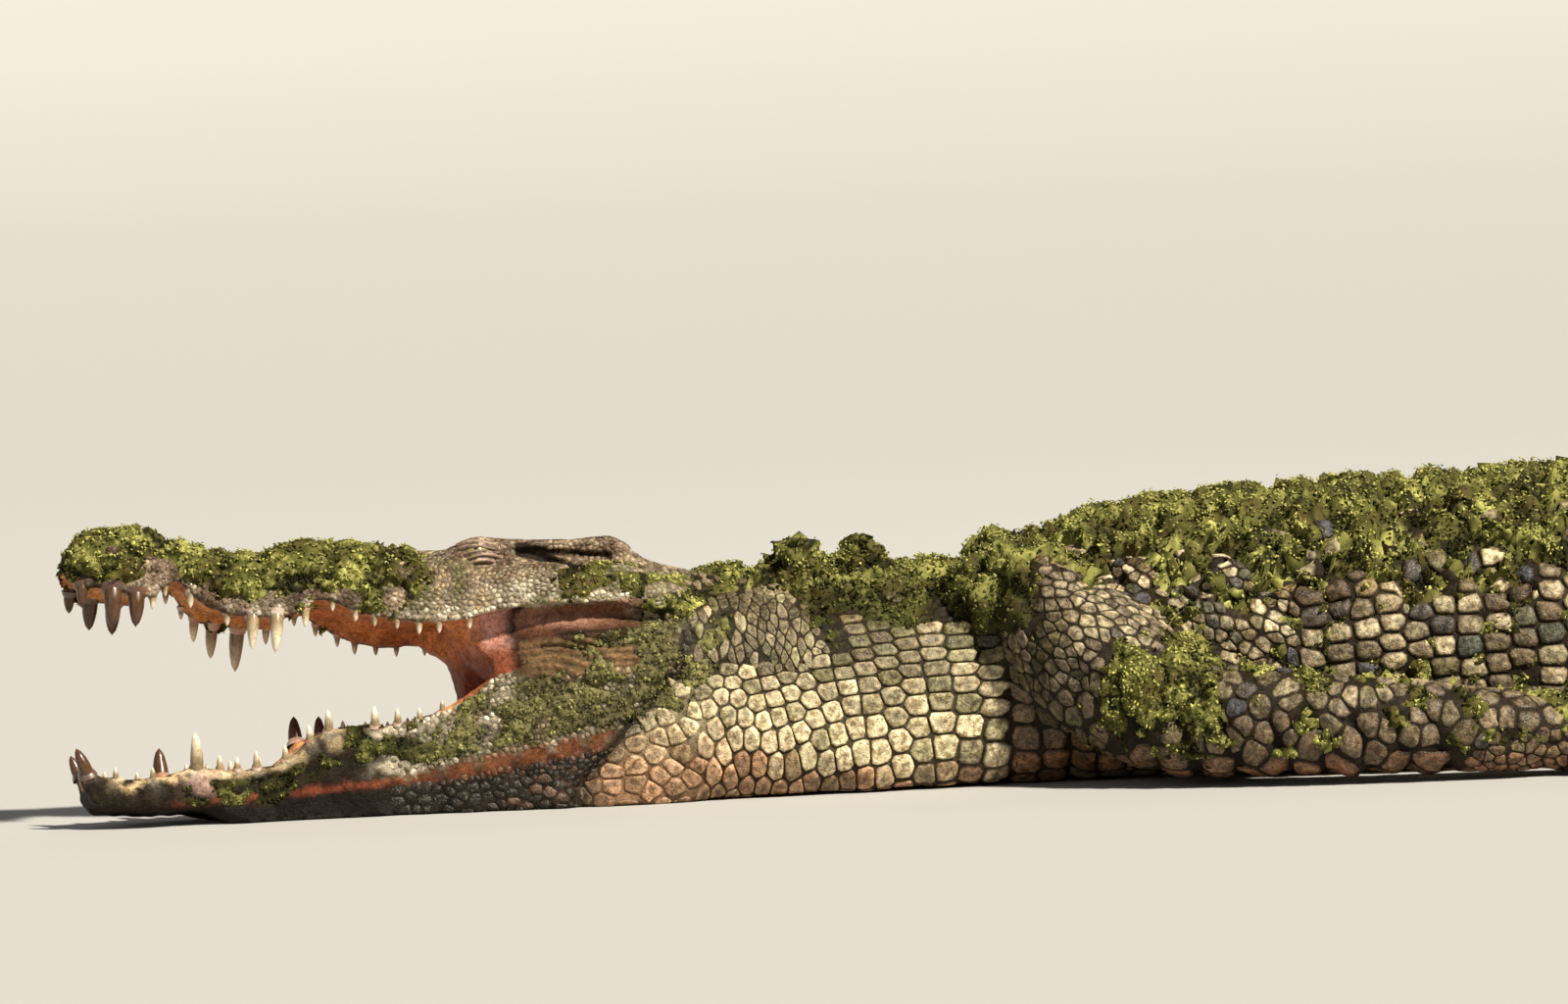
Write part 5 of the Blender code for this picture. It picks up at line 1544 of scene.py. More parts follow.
def outlines(rows, sides):
    """How far each scale reaches in each direction round its seed, in its own half sizes."""
    at, normal, half, size = seed_at[rows], seed_normal[rows], seed_half[rows], seed_size[rows]
    near = np.array([[j for _, j, _ in seed_finder.find_n(spot, NEIGHBOURS + 1)][1:] for spot in at.tolist()])
    gap = seed_at[near] - at[:, None]
    x = (gap * seed_along[rows, None]).sum(2)
    y = (gap * seed_across[rows, None]).sum(2)
    stretch = np.linalg.norm(gap, axis=2) / np.maximum(np.hypot(x, y), 1e-6)
    x, y = x * stretch / half[:, :1], y * stretch / half[:, 1:]
    away = np.maximum(np.hypot(x, y), 1e-6)
    middle = away * size[:, None] / (size[:, None] + seed_size[near])
    facing = (seed_normal[near] * normal[:, None]).sum(2) > 0.1
    turn = turns_round(sides)
    cosine = (x[..., None] * np.cos(turn) + y[..., None] * np.sin(turn)) / away[..., None]
    pull = np.where((cosine > FACING) & facing[..., None], cosine / middle[..., None], 0.0)
    total = (pull**SQUARENESS).sum(1) + (1 / MOST_REACH) ** SQUARENESS
    total += (seed_ordered[rows, None] * np.abs(np.cos(turn))) ** SQUARENESS
    radius = total ** (-1 / SQUARENESS)
    step = np.hypot(half[:, :1] * np.cos(turn), half[:, 1:] * np.sin(turn))
    groove = GROOVE * np.clip(size / LARGE_SCALE, 0.45, 1.0)
    return turn, np.maximum(radius - 0.5 * groove[:, None] / step, 0.35 * radius)


# %% Meshes from arrays
def quick_mesh(name, points, face_sets, colours=None, patches=None):
    """A smooth mesh object from arrays. Faces come in sets of triangles or squares, and patches are OFBake places."""
    mesh = bpy.data.meshes.new(name)
    loops = np.concatenate([faces.ravel() for faces in face_sets]).astype(np.int32)
    sizes = np.concatenate([np.full(len(faces), faces.shape[1]) for faces in face_sets])
    mesh.vertices.add(len(points))
    mesh.vertices.foreach_set("co", np.asarray(points, np.float32).ravel())
    mesh.loops.add(len(loops))
    mesh.loops.foreach_set("vertex_index", loops)
    mesh.polygons.add(len(sizes))
    mesh.polygons.foreach_set("loop_start", (np.cumsum(sizes) - sizes).astype(np.int32))
    mesh.update(calc_edges=True)
    mesh.shade_smooth()
    if colours is not None:
        paint_mesh(mesh, colours)
    if patches is not None:
        layer = mesh.uv_layers.new(name="OFBake")
        layer.data.foreach_set("uv", np.asarray(patches, np.float32)[loops].ravel())
    made = bpy.data.objects.new(name, mesh)
    bpy.context.scene.collection.objects.link(made)
    return made


PATCH = 0.003  # width on the map of one scale or leaf


def unwrapped(points):
    """Places of points on a map of the skin: the body in one band round its midline, the limbs in four beside it."""
    s, v, z = locate(points)
    middle = np.where(s < 0.60, np.where(z > JAWS_PART, 0.215, 0.07), 0.45 * body_top(s))
    round_body = np.arctan2(v, z - middle) / (2 * math.pi) + 0.5
    band = np.where((s < 0.60) & (z < JAWS_PART), 0.02, 0.24)
    tall = np.where(s < 0.60, 0.20, 0.42)
    map_u = 0.01 + 0.96 * (s + 0.02) / (TOTAL_LENGTH + 0.04)
    map_v = band + tall * round_body
    limb = (np.abs(v) > body_half_width(s) + 0.002) & (s > 1.0) & (z < 0.2)
    along = np.clip((points[:, 0] + 0.5) / 1.3, 0, 1)
    around = np.arctan2(np.abs(v) - 0.33, z - 0.05) / (2 * math.pi) + 0.5
    strip = np.where(v < 0, 0.68, 0.84)
    return np.stack([np.where(limb, 0.01 + 0.96 * along, map_u), np.where(limb, strip + 0.13 * around, map_v)], 1)


# %% Heights and colours of the scales
FINE = (10, (1.0, 0.78, 0.0))  # sides, and shares of the way out of the rings, of the scales on the head
FULL = (14, (1.0, 0.92, 0.77, 0.45, 0.0))  # and of the others
SUNK = 0.0010  # how deep the rim lies in the groove


RING_AT = (0.0, 0.45, 0.77, 0.92, 1.0)  # shares of the way out, at which these are given
DOMED = (1.03, 1.0, 0.88, 0.58, 0.0)
DISHED = (0.78, 0.80, 1.0, 0.72, 0.0)
# brightness of each ring: lighter in the middle, and the outermost, sunk in the groove, darkened as painted shade
PLAIN_TONE = (1.14, 1.20, 1.08, 0.62, 0.18)
BORDERED_TONE = (0.76, 0.92, 1.20, 1.18, 0.28)
# painted shade on the rim in the groove, and a little stain over the rest
RIM_SHADE_AND_STAIN = (0.10, 0.0, 0.06, 0.38, 0.75)
SHADE_AND_STAIN_TONE = (0.040, 0.020, 0.009)


def ring_height(share, dish):
    """The height of a ring, as a share of the scale's own: a dome, or a rim round a shallow dish."""
    domed, dished = (np.interp(share, RING_AT, shape) for shape in (DOMED, DISHED))
    return domed + dish * (dished - domed)


def scale_heights(rows, s, z):
    """For each scale: its height, how dished it is, and the height of its keel."""
    size, up = seed_size[rows], seed_normal[rows, 2]
    rise = share_of_top(s, z)
    trunk = window(s, 1.05, 1.15, 2.0, 2.3)
    height = np.minimum(0.0006 + 0.21 * size, 0.0032)
    height *= 1 + 0.30 * trunk * window(rise, 0.15, 0.3, 0.9, 1.0)
    height = np.where((seed_ordered[rows] == 0) & (s > 1.0), 0.65 * height, height)
    height = np.where(s < crease_at(z), np.minimum(height, np.where(z > JAWS_PART, 0.0008, 0.0005)), height)
    height = np.where((up < -0.5) & (z < 0.05), 0.0013, height)
    dish = 0.9 * window(s, 0.62, 0.70, 1.02, 1.10) + 0.4 * (1 - window(s, 0.60, 0.70, 2.0, 2.2))
    top = ramp(up, 0.55, 0.85) * ramp(s, 1.02, 1.10) * (seed_ordered[rows] > 0)
    return height, dish, 0.0045 * top * np.minimum(size / LARGE_SCALE, 1.2)


def scale_colours(rows, s, v, z):
    """The hide's colour at each scale, and the one of its own that each takes over it."""
    colours = hide_colour(seed_at[rows])
    rise = share_of_top(s, z)
    flank = window(s, 1.02, 1.12, 1.95, 2.2) * window(rise, 0.10, 0.25, 0.85, 1.0)
    dice = random.random((3, len(s)))
    on_limb = limb_share(s, np.abs(v))
    slate = dice[0] < (0.24 * flank + 0.02 * (s > 1.0)) * (1 - 0.7 * on_limb)
    # pale scales are fewer on the limbs, and none in the painted shade between the neck and the arm
    flank = flank * (1 - shaded_band(s, v, z))
    pale = (dice[0] > 0.50) & ~slate
    lit = (0.10 + 0.90 * flank) * (1 - shaded_band(s, v, z)) * (1 - 0.75 * on_limb)
    green = (dice[2] > 0.80) & (s > 0.6)
    colours = layered(
        colours,
        (SLATE, slate * (0.55 + 0.40 * dice[1])),
        (CREAM, pale * (0.15 + 0.60 * dice[1]) * lit * (s > crease_at(z))),
        (MOSS, green * 0.30 * (1 - 0.6 * on_limb)),
        (WEED_STAIN, 0.85 * ramp(weed_cover(seed_at[rows], s, v, z), 0.05, 0.7)),
    )
    return colours * (1 + (0.50 * dice[1] - 0.27) * (1 - 0.5 * on_limb))[:, None]


def grow(rows, sides, shares):
    """Some of the scales, as arrays of points, colours and map places, each (scales, points of one, ...)."""
    turn, radius = outlines(rows, sides)
    s, v, z = locate(seed_at[rows])
    height, dish, keel = scale_heights(rows, s, z)
    x, y = radius * np.cos(turn), radius * np.sin(turn)
    at = seed_at[rows, None]
    rim = at + seed_along[rows, None] * (x * seed_half[rows, :1])[..., None]
    rim = rim + seed_across[rows, None] * (y * seed_half[rows, 1:])[..., None]
    rim, rim_normal, off = settle(rim.reshape(-1, 3))
    rim, rim_normal = rim.reshape(-1, sides, 3), rim_normal.reshape(-1, sides, 3)
    sound = off.reshape(-1, sides).max(1) < OFF_SKIN
    sound &= (rim_normal * seed_normal[rows, None]).sum(2).min(1) > 0.0
    reach = rim - at
    bulge = 0.5 * ((rim_normal - seed_normal[rows, None]) * reach).sum(2)
    colours = scale_colours(rows, s, v, z)
    crisp = 0.25 + 0.75 * ramp(s - crease_at(z), 0.0, 0.02)
    bordered = window(s - crease_at(z), 0.0, 0.02, 0.36, 0.40)
    own_map = unwrapped(seed_at[rows])
    points, paints, patches = [], [], []
    for share in shares:
        count = sides if share else 1
        normal = unit(share * rim_normal[:, :count] + (1 - share) * seed_normal[rows, None])
        lift = (height * ring_height(share, dish))[:, None] * (1 + 0.20 * share * x[:, :count])
        lift = lift + share * (1 - share) * bulge[:, :count] - SUNK * (share == 1)
        ridge = np.maximum(1 - np.abs(share * y[:, :count]) / 0.40, 0) * (0.45 + 0.55 * share * x[:, :count])
        lift = lift + keel[:, None] * ridge * (share < 1)
        points.append(at + share * reach[:, :count] + normal * lift[..., None])
        tone = np.interp(share, RING_AT, PLAIN_TONE)
        tone = tone + (np.interp(share, RING_AT, BORDERED_TONE) - tone) * bordered
        tone = 1 + (tone - 1) * crisp
        # painted shade on the rim in the groove, with a little stain over the rest
        stain = np.interp(share, RING_AT, RIM_SHADE_AND_STAIN) * crisp * (1 - 0.6 * bordered)
        paint = np.repeat(colours[:, None] * tone[:, None, None], count, 1)
        worn = lumps(points[-1].reshape(-1, 3), 0.0085, 82).reshape(-1, count)
        paint = paint * (1 - 0.55 * crisp[:, None] * ramp(worn, 0.0, 0.9) * (1 - 0.5 * bordered[:, None]))[..., None]
        paint = paint * (1 + 0.22 * ramp(-worn, 0.1, 1.0))[..., None]
        paints.append(paint + (np.array(SHADE_AND_STAIN_TONE) - paint) * stain[:, None, None])
        spot = np.stack([share * x[:, :count], share * y[:, :count]], 2) / MOST_REACH
        patches.append(own_map[:, None] + 0.5 * PATCH * spot)
    return [np.concatenate(values, 1)[sound] for values in (points, paints, patches)]


def scale_faces(count, sides, shares):
    """Faces of that many scales: squares between rings and triangles at the middle."""
    each = sides * (len(shares) - 1) + 1
    around = np.arange(sides)
    after = (around + 1) % sides
    last = sides * (len(shares) - 2)
    squares = [
        np.stack([first + around, first + after, first + sides + after, first + sides + around], 1)
        for first in range(0, last, sides)
    ]
    tips = np.stack([last + around, last + after, np.full(sides, each - 1)], 1)
    starts = (np.arange(count) * each)[:, None, None]
    return [(np.concatenate(squares) + starts).reshape(-1, 4), (tips + starts).reshape(-1, 3)]


s, v, z = locate(seed_at)
shown = weed_cover(seed_at, s, v, z) < 0.4
on_limb = (np.abs(v) > body_half_width(s) - 0.006) & (s > 1.0) & (z < 0.2)
REGIONS = (
    ("upper_head", (s < crease_at(z)) & (z > JAWS_PART), FINE),
    ("lower_head", (s < crease_at(z)) & (z <= JAWS_PART), FINE),
    ("neck", (s >= crease_at(z)) & (s < 1.02), FULL),
    ("fore_limbs", on_limb & (s < 1.9), FULL),
    ("hind_limbs", on_limb & (s >= 1.9), FULL),
    ("trunk_left", ~on_limb & (s >= 1.02) & (s < 2.1) & (v < 0), FULL),
    ("trunk_right", ~on_limb & (s >= 1.02) & (s < 2.1) & (v >= 0), FULL),
    ("tail", ~on_limb & (s >= 2.1), FULL),
)
coat = []
for region, inside, (sides, shares) in REGIONS:
    arrays = grow(np.flatnonzero(inside & shown), sides, shares)
    flat = [values.reshape(-1, values.shape[-1]) for values in arrays]
    coat.append(quick_mesh(f"scales_{region}", flat[0], scale_faces(len(arrays[0]), sides, shares), flat[1], flat[2]))
print("coat pieces:", {piece.name: len(piece.data.polygons) for piece in coat})

# %% [markdown]
# ## The weed
# The animal comes out of a weedy pond. A mat lies on its snout, neck and back: the skin's own faces under the
# weed, lifted by the mat's thickness, with an edge that dips back under the hide. Small leaves lie on it
# in all directions, each a closed lens of eight triangles.

# %% The mat
fine_s, fine_v, fine_z = locate(fine_points)
fine_cover = weed_cover(fine_points, fine_s, fine_v, fine_z)
fine_cover = fine_cover * (1 - in_mouth(fine_normals, fine_s, fine_v, fine_z))
EDGE_DIP = 0.0016  # how far the mat's edge goes under the hide
MAT_THICKENS = (0.002, 0.008)  # between a film and a mat with clumps
MAT_FROM = 0.40  # cover
under_mat = (fine_cover[fine_faces] > MAT_FROM).any(1)
used = np.unique(fine_faces[under_mat])
place_in_mat = np.zeros(len(fine_points), int)
place_in_mat[used] = np.arange(len(used))
mat_thick = mat_depth(fine_points[used], fine_s[used], fine_z[used], fine_cover[used])
clumpy = ramp(most_mat(fine_s[used], fine_z[used]), *MAT_THICKENS)
mat_thick += (0.3 + 0.9 * clumpy) * 0.0012 * lumps(fine_points[used], 0.011, 45) + 0.0006 + 0.0016 * clumpy
mat_thick = mat_thick * ramp(fine_cover[used], 0.42, 0.75) - EDGE_DIP * (1 - ramp(fine_cover[used], 0.42, 0.60))
mat_points = fine_points[used] + fine_normals[used] * mat_thick[:, None]


WEED = (0.080, 0.078, 0.018)
WEED_BROWN = (0.055, 0.034, 0.012)
WEED_LIT = (0.370, 0.360, 0.100)
WEED_CREASE_SHADE = (0.010, 0.009, 0.003)
WEED_FILM = (0.170, 0.150, 0.070)
WEED_SHADE = (0.014, 0.013, 0.004)


def weed_colours(points, rise):
    """Moss on the mat and its leaves: painted shade, near black, in the creases, low on the neck and at the front of
    the lower jaw, and painted light, yellow-green, on the clumps and where rise is high.
    """
    patch, fleck, relief = lumps(points, 0.060, 46), lumps(points, 0.012, 47), clumps(points)
    s, v, z = locate(points)
    film = window(s, 0.30, 0.40, 0.64, 0.68) * (z < 0.166)
    # painted light on the clumps, more where rise is high, with random patches
    lit = rise * (0.35 + 0.95 * ramp(relief, 0.50, 1.50)) + 0.25 * patch + 0.30 * fleck
    colours = layered(
        filled(WEED, len(points)),
        (WEED_BROWN, ramp(fleck - 0.6 * patch, 0.1, 1.0) * 0.7),
        (WEED_LIT, ramp(lit, 0.22, 1.05)),
        # painted shade in the mat's creases
        (WEED_CREASE_SHADE, 0.94 * (1 - ramp(relief, 0.50, 1.02))),
        (WEED_FILM, 0.55 * film),
    )
    colours = colours * (1 - 0.55 * film * ramp(lumps(points, 0.0085, 48), -0.1, 0.8))[:, None]
    shaded = window(s, 0.70, 0.80, 1.00, 1.06) * (1 - ramp(z, 0.185, 0.222)) + (1 - ramp(s, 0.32, 0.38)) * (z < 0.15)
    return toward(colours, WEED_SHADE, 0.65 * shaded)


mat = quick_mesh(
    "weed_mat",
    mat_points,
    [place_in_mat[fine_faces[under_mat]]],
    # the mat under the leaves gets little painted light
    weed_colours(mat_points, 0.15),
    unwrapped(mat_points),
)

# %% Leaves
LEAF_SPACING = 0.0037
LEAF_SIDES = 4
LEAF_TILT = 0.55
LEAF_LENGTH = (0.0016, 0.0036)  # half of it
LEAF_WIDTH = (0.45, 0.80)  # as a share of its length
MOST_LEAVES = 24000  # in one piece
fine_triangles = np.concatenate([fine_faces[:, [0, 1, 2]], fine_faces[:, [0, 2, 3]]])


def leaf_density(centres):
    s, v, z = locate(centres)
    return ramp(weed_cover(centres, s, v, z), 0.25, 0.75) / LEAF_SPACING**2


def build_leaves():
    """Points, colours and map places of all the leaves, each of shape (leaves, corners, ...), and their x."""
    wet = fine_cover[fine_triangles].max(1) > 0.2
    spots, face = scatter(fine_points, fine_triangles[wet], leaf_density, 61)
    corners = fine_triangles[wet][face]
    normal = fine_normals[corners].mean(1)
    thick = np.zeros(len(fine_points))
    thick[used] = mat_thick
    count = len(spots)
    tip = unit(normal + LEAF_TILT * random.normal(size=(count, 3)))
    along = unit(np.cross(tip, random.normal(size=(count, 3))))
    across = np.cross(tip, along)
    length = random.uniform(*LEAF_LENGTH, (count, 1))
    width = length * random.uniform(*LEAF_WIDTH, (count, 1))
    float_up = random.uniform(0.0, 1.0, count) ** 2
    spot_s, _, spot_z = locate(spots)
    stand = 0.0012 + 0.0030 * ramp(most_mat(spot_s, spot_z), *MAT_THICKENS)
    centre = spots + normal * (np.maximum(thick[corners].mean(1), 0.0006) + stand * float_up)[:, None]
    rim = [centre + along * length, centre + across * width, centre - along * length, centre - across * width]
    points = np.stack(rim + [centre + tip * 0.0007, centre - tip * 0.0005], 1)
    # leaves that stand higher get more painted light
    colours = weed_colours(spots, 0.25 + 0.85 * float_up) * random.uniform(0.65, 1.30, (count, 1))
    corner = np.array([(1, 0), (0, 1), (-1, 0), (0, -1), (0, 0), (0, 0)])
    patches = unwrapped(spots)[:, None] + 0.5 * PATCH * corner
    return points, np.repeat(colours[:, None], LEAF_SIDES + 2, 1), patches, spots[:, 0]


leaf_points, leaf_colours, leaf_patches, leaf_x = build_leaves()
rim_steps = [(i, (i + 1) % LEAF_SIDES) for i in range(LEAF_SIDES)]
leaf_faces = np.array([(a, b, LEAF_SIDES) for a, b in rim_steps] + [(b, a, LEAF_SIDES + 1) for a, b in rim_steps])
leaf_parts = np.array_split(np.argsort(leaf_x, kind="stable"), math.ceil(len(leaf_x) / MOST_LEAVES))
for part, rows in enumerate(leaf_parts):
    faces = (leaf_faces + (LEAF_SIDES + 2) * np.arange(len(rows))[:, None, None]).reshape(-1, 3)
    flat = [values[rows].reshape(-1, values.shape[-1]) for values in (leaf_points, leaf_colours, leaf_patches)]
    coat.append(quick_mesh(f"weed_leaves_{part + 1}", flat[0], [faces], flat[1], flat[2]))
coat.append(mat)
print("leaves:", len(leaf_x), "and mat faces:", int(under_mat.sum()))

# %% [markdown]
# ## Teeth, tongue, claws and eyes
# Teeth, gums, tongue and claws are tubes drawn along a curve, with a shape of their own at each ring. An eye is a
# ball whose rings follow its line of sight, and a lid is a wrinkled sheet that sinks into the skin all round.


# %% Drawing a tube
def drawn(spine, widths, sides):
    """Points round a curve, ring after ring."""
    ahead = unit(np.gradient(spine, axis=0))
    across = unit(np.cross(ahead, np.cross(ahead[0], np.array((0.3, 0.5, 0.8)))))
    other = np.cross(ahead, across)
    turn = turns_round(sides)
    ring = across[:, None] * np.cos(turn)[:, None] + other[:, None] * np.sin(turn)[:, None]
    return spine[:, None] + widths[:, None, None] * ring


def ring_faces(rings, sides, start=0):
    """Squares between the rings of one tube, which begins at a given vertex."""
    i, k = np.meshgrid(np.arange(rings - 1), np.arange(sides), indexing="ij")
    after = (k + 1) % sides
    corners = np.stack([i * sides + k, i * sides + after, (i + 1) * sides + after, (i + 1) * sides + k], -1)
    return corners.reshape(-1, 4) + start


def tube_piece(name, tubes, colours):
    """One object from several tubes of points (rings, sides, 3), whose last rings are all but closed."""
    faces, start = [], 0
    for tube in tubes:
        rings, sides = tube.shape[:2]
        faces.append(ring_faces(rings, sides, start))
        start += rings * sides
    points = np.concatenate([tube.reshape(-1, 3) for tube in tubes])
    return quick_mesh(name, points, [np.concatenate(faces)], colours)


# %% Teeth
TOOTH_SIDES = 14
TOOTH_RINGS = 10
TOOTH_ROOT = 0.010  # how deep a tooth stands in its gum
LEAST_GUM = 0.009  # length of the teeth that have a gum of their own
GUM_WIDTHS = (1.7, 1.55, 1.25, 1.08, 0.9)
GUM_STEPS = (-0.0045, -0.0015, 0.0009, 0.0013, 0.0004)
IVORY = (0.82, 0.72, 0.53)
STAIN = (0.20, 0.13, 0.05)
# the weed's brown, darkened by painted shade
WEED_AND_SHADE = (0.075, 0.036, 0.016)
# the front gums are painted dark with weed and painted shade
GUM, GUM_RED, GUM_FRONT_SHADE = (0.48, 0.38, 0.30), (0.30, 0.12, 0.07), (0.06, 0.028, 0.016)


def shaded_weedy_tooth(upper, side, tooth_s, length):
    """True for the teeth that carry weed and are painted dark with shade: the front ones, and the far ones of the
    lower jaw.
    """
    return length > 0.015 and (tooth_s < 0.08 if upper else side > 0 or tooth_s < 0.03)


def tooth_tube(jaw, side, tooth_s, length):
    """A tooth from inside the gum to its point, curving a little back towards the mouth."""
    upper = jaw == "upper"
    half = float(upper_half_width(tooth_s) if upper else lower_half_width(tooth_s))
    edge = float(lip_at(tooth_s, side * half) if upper else rim_at(tooth_s, side * half))
    down = -1 if upper else 1
    lean = 0.12 if upper else 0.18
    forward = 0.15 if upper else 0.55 * (1 - float(ramp(tooth_s, 0.012, 0.04)))
    v = side * (half - min(TOOTH_INSET, half / 3))
    foot = place(tooth_s, v, edge - down * TOOTH_ROOT)
    tip = place(max(tooth_s - forward * length, 0.001), v + side * lean * length, edge + down * length)
    outwards = place(tooth_s, v + side * 0.01, edge) - place(tooth_s, v, edge)
    share = np.linspace(0, 1, TOOTH_RINGS)
    bow = unit(outwards)[None] * (0.10 * length * np.sin(math.pi * share))[:, None]
    spine = foot + (tip - foot) * share[:, None] + bow
    widest = (0.0022 + 0.135 * length) * (1.35 if shaded_weedy_tooth(upper, side, tooth_s, length) else 1.0)
    widths = widest * np.sqrt(np.maximum(1 - share**2.2, 0.0)) * (0.92 + 0.12 * np.sin(math.pi * share))
    widths[-1] = 0.00012
    return drawn(spine, widths, TOOTH_SIDES), share


def gum_collar(jaw, side, tooth_s, length):
    """The soft ring from which a tooth stands."""
    tube, _ = tooth_tube(jaw, side, tooth_s, length)
    root = TOOTH_ROOT / (TOOTH_ROOT + length)
    axis = tube[-1].mean(0) - tube[0].mean(0)
    centre = tube[0].mean(0) + axis * root
    across = tube[0] - tube[0].mean(0)
    widths = np.array(GUM_WIDTHS)
    steps = np.array(GUM_STEPS) * (0.5 + length / 0.03)
    return centre + unit(axis) * steps[:, None, None] + across[None] * widths[:, None, None] * 0.9


teeth = []
for jaw in ("upper", "lower"):
    tubes, paints, collars = [], [], []
    for name, side, row in TOOTH_ROWS:
        for tooth_s, length in row:
            if name != jaw:
                continue
            tube, share = tooth_tube(jaw, side, tooth_s, length)
            root = TOOTH_ROOT / (TOOTH_ROOT + length)
            dirt = np.clip(1.15 - (share - root) / (1 - root) * random.uniform(0.9, 1.8), 0.05, 0.9)
            paint = toward(filled(IVORY, len(share)), STAIN, dirt) * random.uniform(0.8, 1.1)
            # weed and painted shade on the front teeth and the far lower ones
            paint = toward(paint, WEED_AND_SHADE, float(shaded_weedy_tooth(jaw == "upper", side, tooth_s, length)))
            tubes.append(tube)
            paints.append(np.repeat(paint[:, None], TOOTH_SIDES, 1).reshape(-1, 3))
            if length > LEAST_GUM:
                collars.append(gum_collar(jaw, side, tooth_s, length))
    teeth.append(tube_piece(f"teeth_{jaw}", tubes, np.concatenate(paints)))
    gum_points = np.concatenate([collar.reshape(-1, 3) for collar in collars])
    gum = layered(
        filled(GUM, len(gum_points)),
        (GUM_RED, 0.45 + 0.40 * lumps(gum_points, 0.02, 71)),
        # weed and painted shade on the front gums
        (GUM_FRONT_SHADE, 0.9 * (1 - ramp(locate(gum_points)[0], 0.07, 0.09))),
    )
    teeth.append(tube_piece(f"gums_{jaw}", collars, gum))

# %% Tongue
TONGUE = (0.13, 0.43)  # s of its tip and root
TONGUE_RINGS = 60
TONGUE_POINTS = 24
TONGUE_TONE = (0.62, 0.30, 0.12)


def tongue_ring(share):
    s = TONGUE[0] + share * (TONGUE[1] - TONGUE[0])
    half = (float(lower_half_width(s)) - 0.026) * min(1.0, 0.45 + 2.2 * share)
    rise = 0.004 + 0.014 * math.sin(math.pi * min(share + 0.12, 1.0) * 0.8)
    across, upward = np.cos(turns_round(TONGUE_POINTS)), np.sin(turns_round(TONGUE_POINTS))
    floor_z = mouth_floor(np.full(TONGUE_POINTS, s), half * across)
    z = floor_z + np.where(upward > 0, rise * (1 - np.abs(across) ** 3) + 0.002, -0.003)
    groove_z = 0.0012 * np.exp(-((across / 0.10) ** 2)) * (upward > 0)
    return place(np.full(TONGUE_POINTS, s), half * across, z - groove_z)


tongue_points = np.stack([tongue_ring(share) for share in np.linspace(0.0, 1.0, TONGUE_RINGS)])
flat_tongue = tongue_points.reshape(-1, 3)
tongue_paint = toward(filled(TONGUE_TONE, len(flat_tongue)), SALMON, 0.5 + 0.5 * lumps(flat_tongue, 0.02, 72))
tongue = tube_piece("tongue", [tongue_points], tongue_paint)

# %% Claws
CLAW_SIDES = 14
CLAW_RINGS = 10
CLAW_DARK, CLAW_PALE = (0.10, 0.08, 0.06), (0.34, 0.27, 0.17)
claws = []
for prefix, joints, names, turn, inner in LIMBS:
    kind = names[-1]
    tubes = []
    for digit, along, clawed in digit_joints(joints, kind, turn, inner):
        if not clawed:
            continue
        tip, width = np.array(digit[-1][:3]), digit[-1][3]
        share = np.linspace(0, 1, CLAW_RINGS)
        ahead = np.array((along[0], along[1], 0.0))
        spine = tip + ahead * (CLAW_LENGTH[kind] * share - 0.002)[:, None]
        spine[:, 2] = np.maximum(tip[2] - 0.005 * share**2 + 0.0012 * np.sin(math.pi * share), 0.003)
        widths = width * (0.62 - 0.50 * share**1.3)
        widths[-1] = 0.0002
        tubes.append(drawn(spine, widths, CLAW_SIDES))
    claw_points = np.concatenate([tube.reshape(-1, 3) for tube in tubes])
    paint = toward(filled(CLAW_DARK, len(claw_points)), CLAW_PALE, 0.5 + 0.5 * lumps(claw_points, 0.012, 73))
    claws.append((prefix, kind, tube_piece(f"claws_{prefix}", tubes, paint)))

# %% Eyes and lids
EYE_RADIUS = 0.0165
EYE_SIDES = 64
EYE_RINGS = 40
LID_POINTS = 72
LID_RINGS = 26
LID_OPEN = (0.02, -0.10)  # how far above and below the middle the lids' edges stand, in radians
LID_SUNK = 0.0012  # depth of a lid's outer edge in the skin
PUPIL = 0.085  # half width as a share of the ball's radius
IRIS, IRIS_DARK = (0.42, 0.34, 0.10), (0.20, 0.17, 0.04)
EYE_WHITE, PUPIL_BLACK = (0.16, 0.12, 0.09), (0.004, 0.004, 0.004)
# painted shade in the lids' furrows and along their edges
FURROW_SHADE, LID_RIM_SHADE = (0.050, 0.026, 0.014), (0.03, 0.02, 0.015)


def eye_frame(side):
    """Outwards, up and back at an eye: the ball looks out and a little up and forward."""
    ahead = unit(place(EYE_AT[0] - 0.025, 0, 0) - place(EYE_AT[0] + 0.015, 0, 0))
    out = unit(place(EYE_AT[0], side * 0.1, 0) - place(EYE_AT[0], 0, 0))
    out = unit(out + 0.25 * ahead + np.array((0, 0, 0.38)))
    up = unit(np.array((0, 0, 1.0)) - out * out[2])
    return out, up, unit(np.cross(out, up) * side)


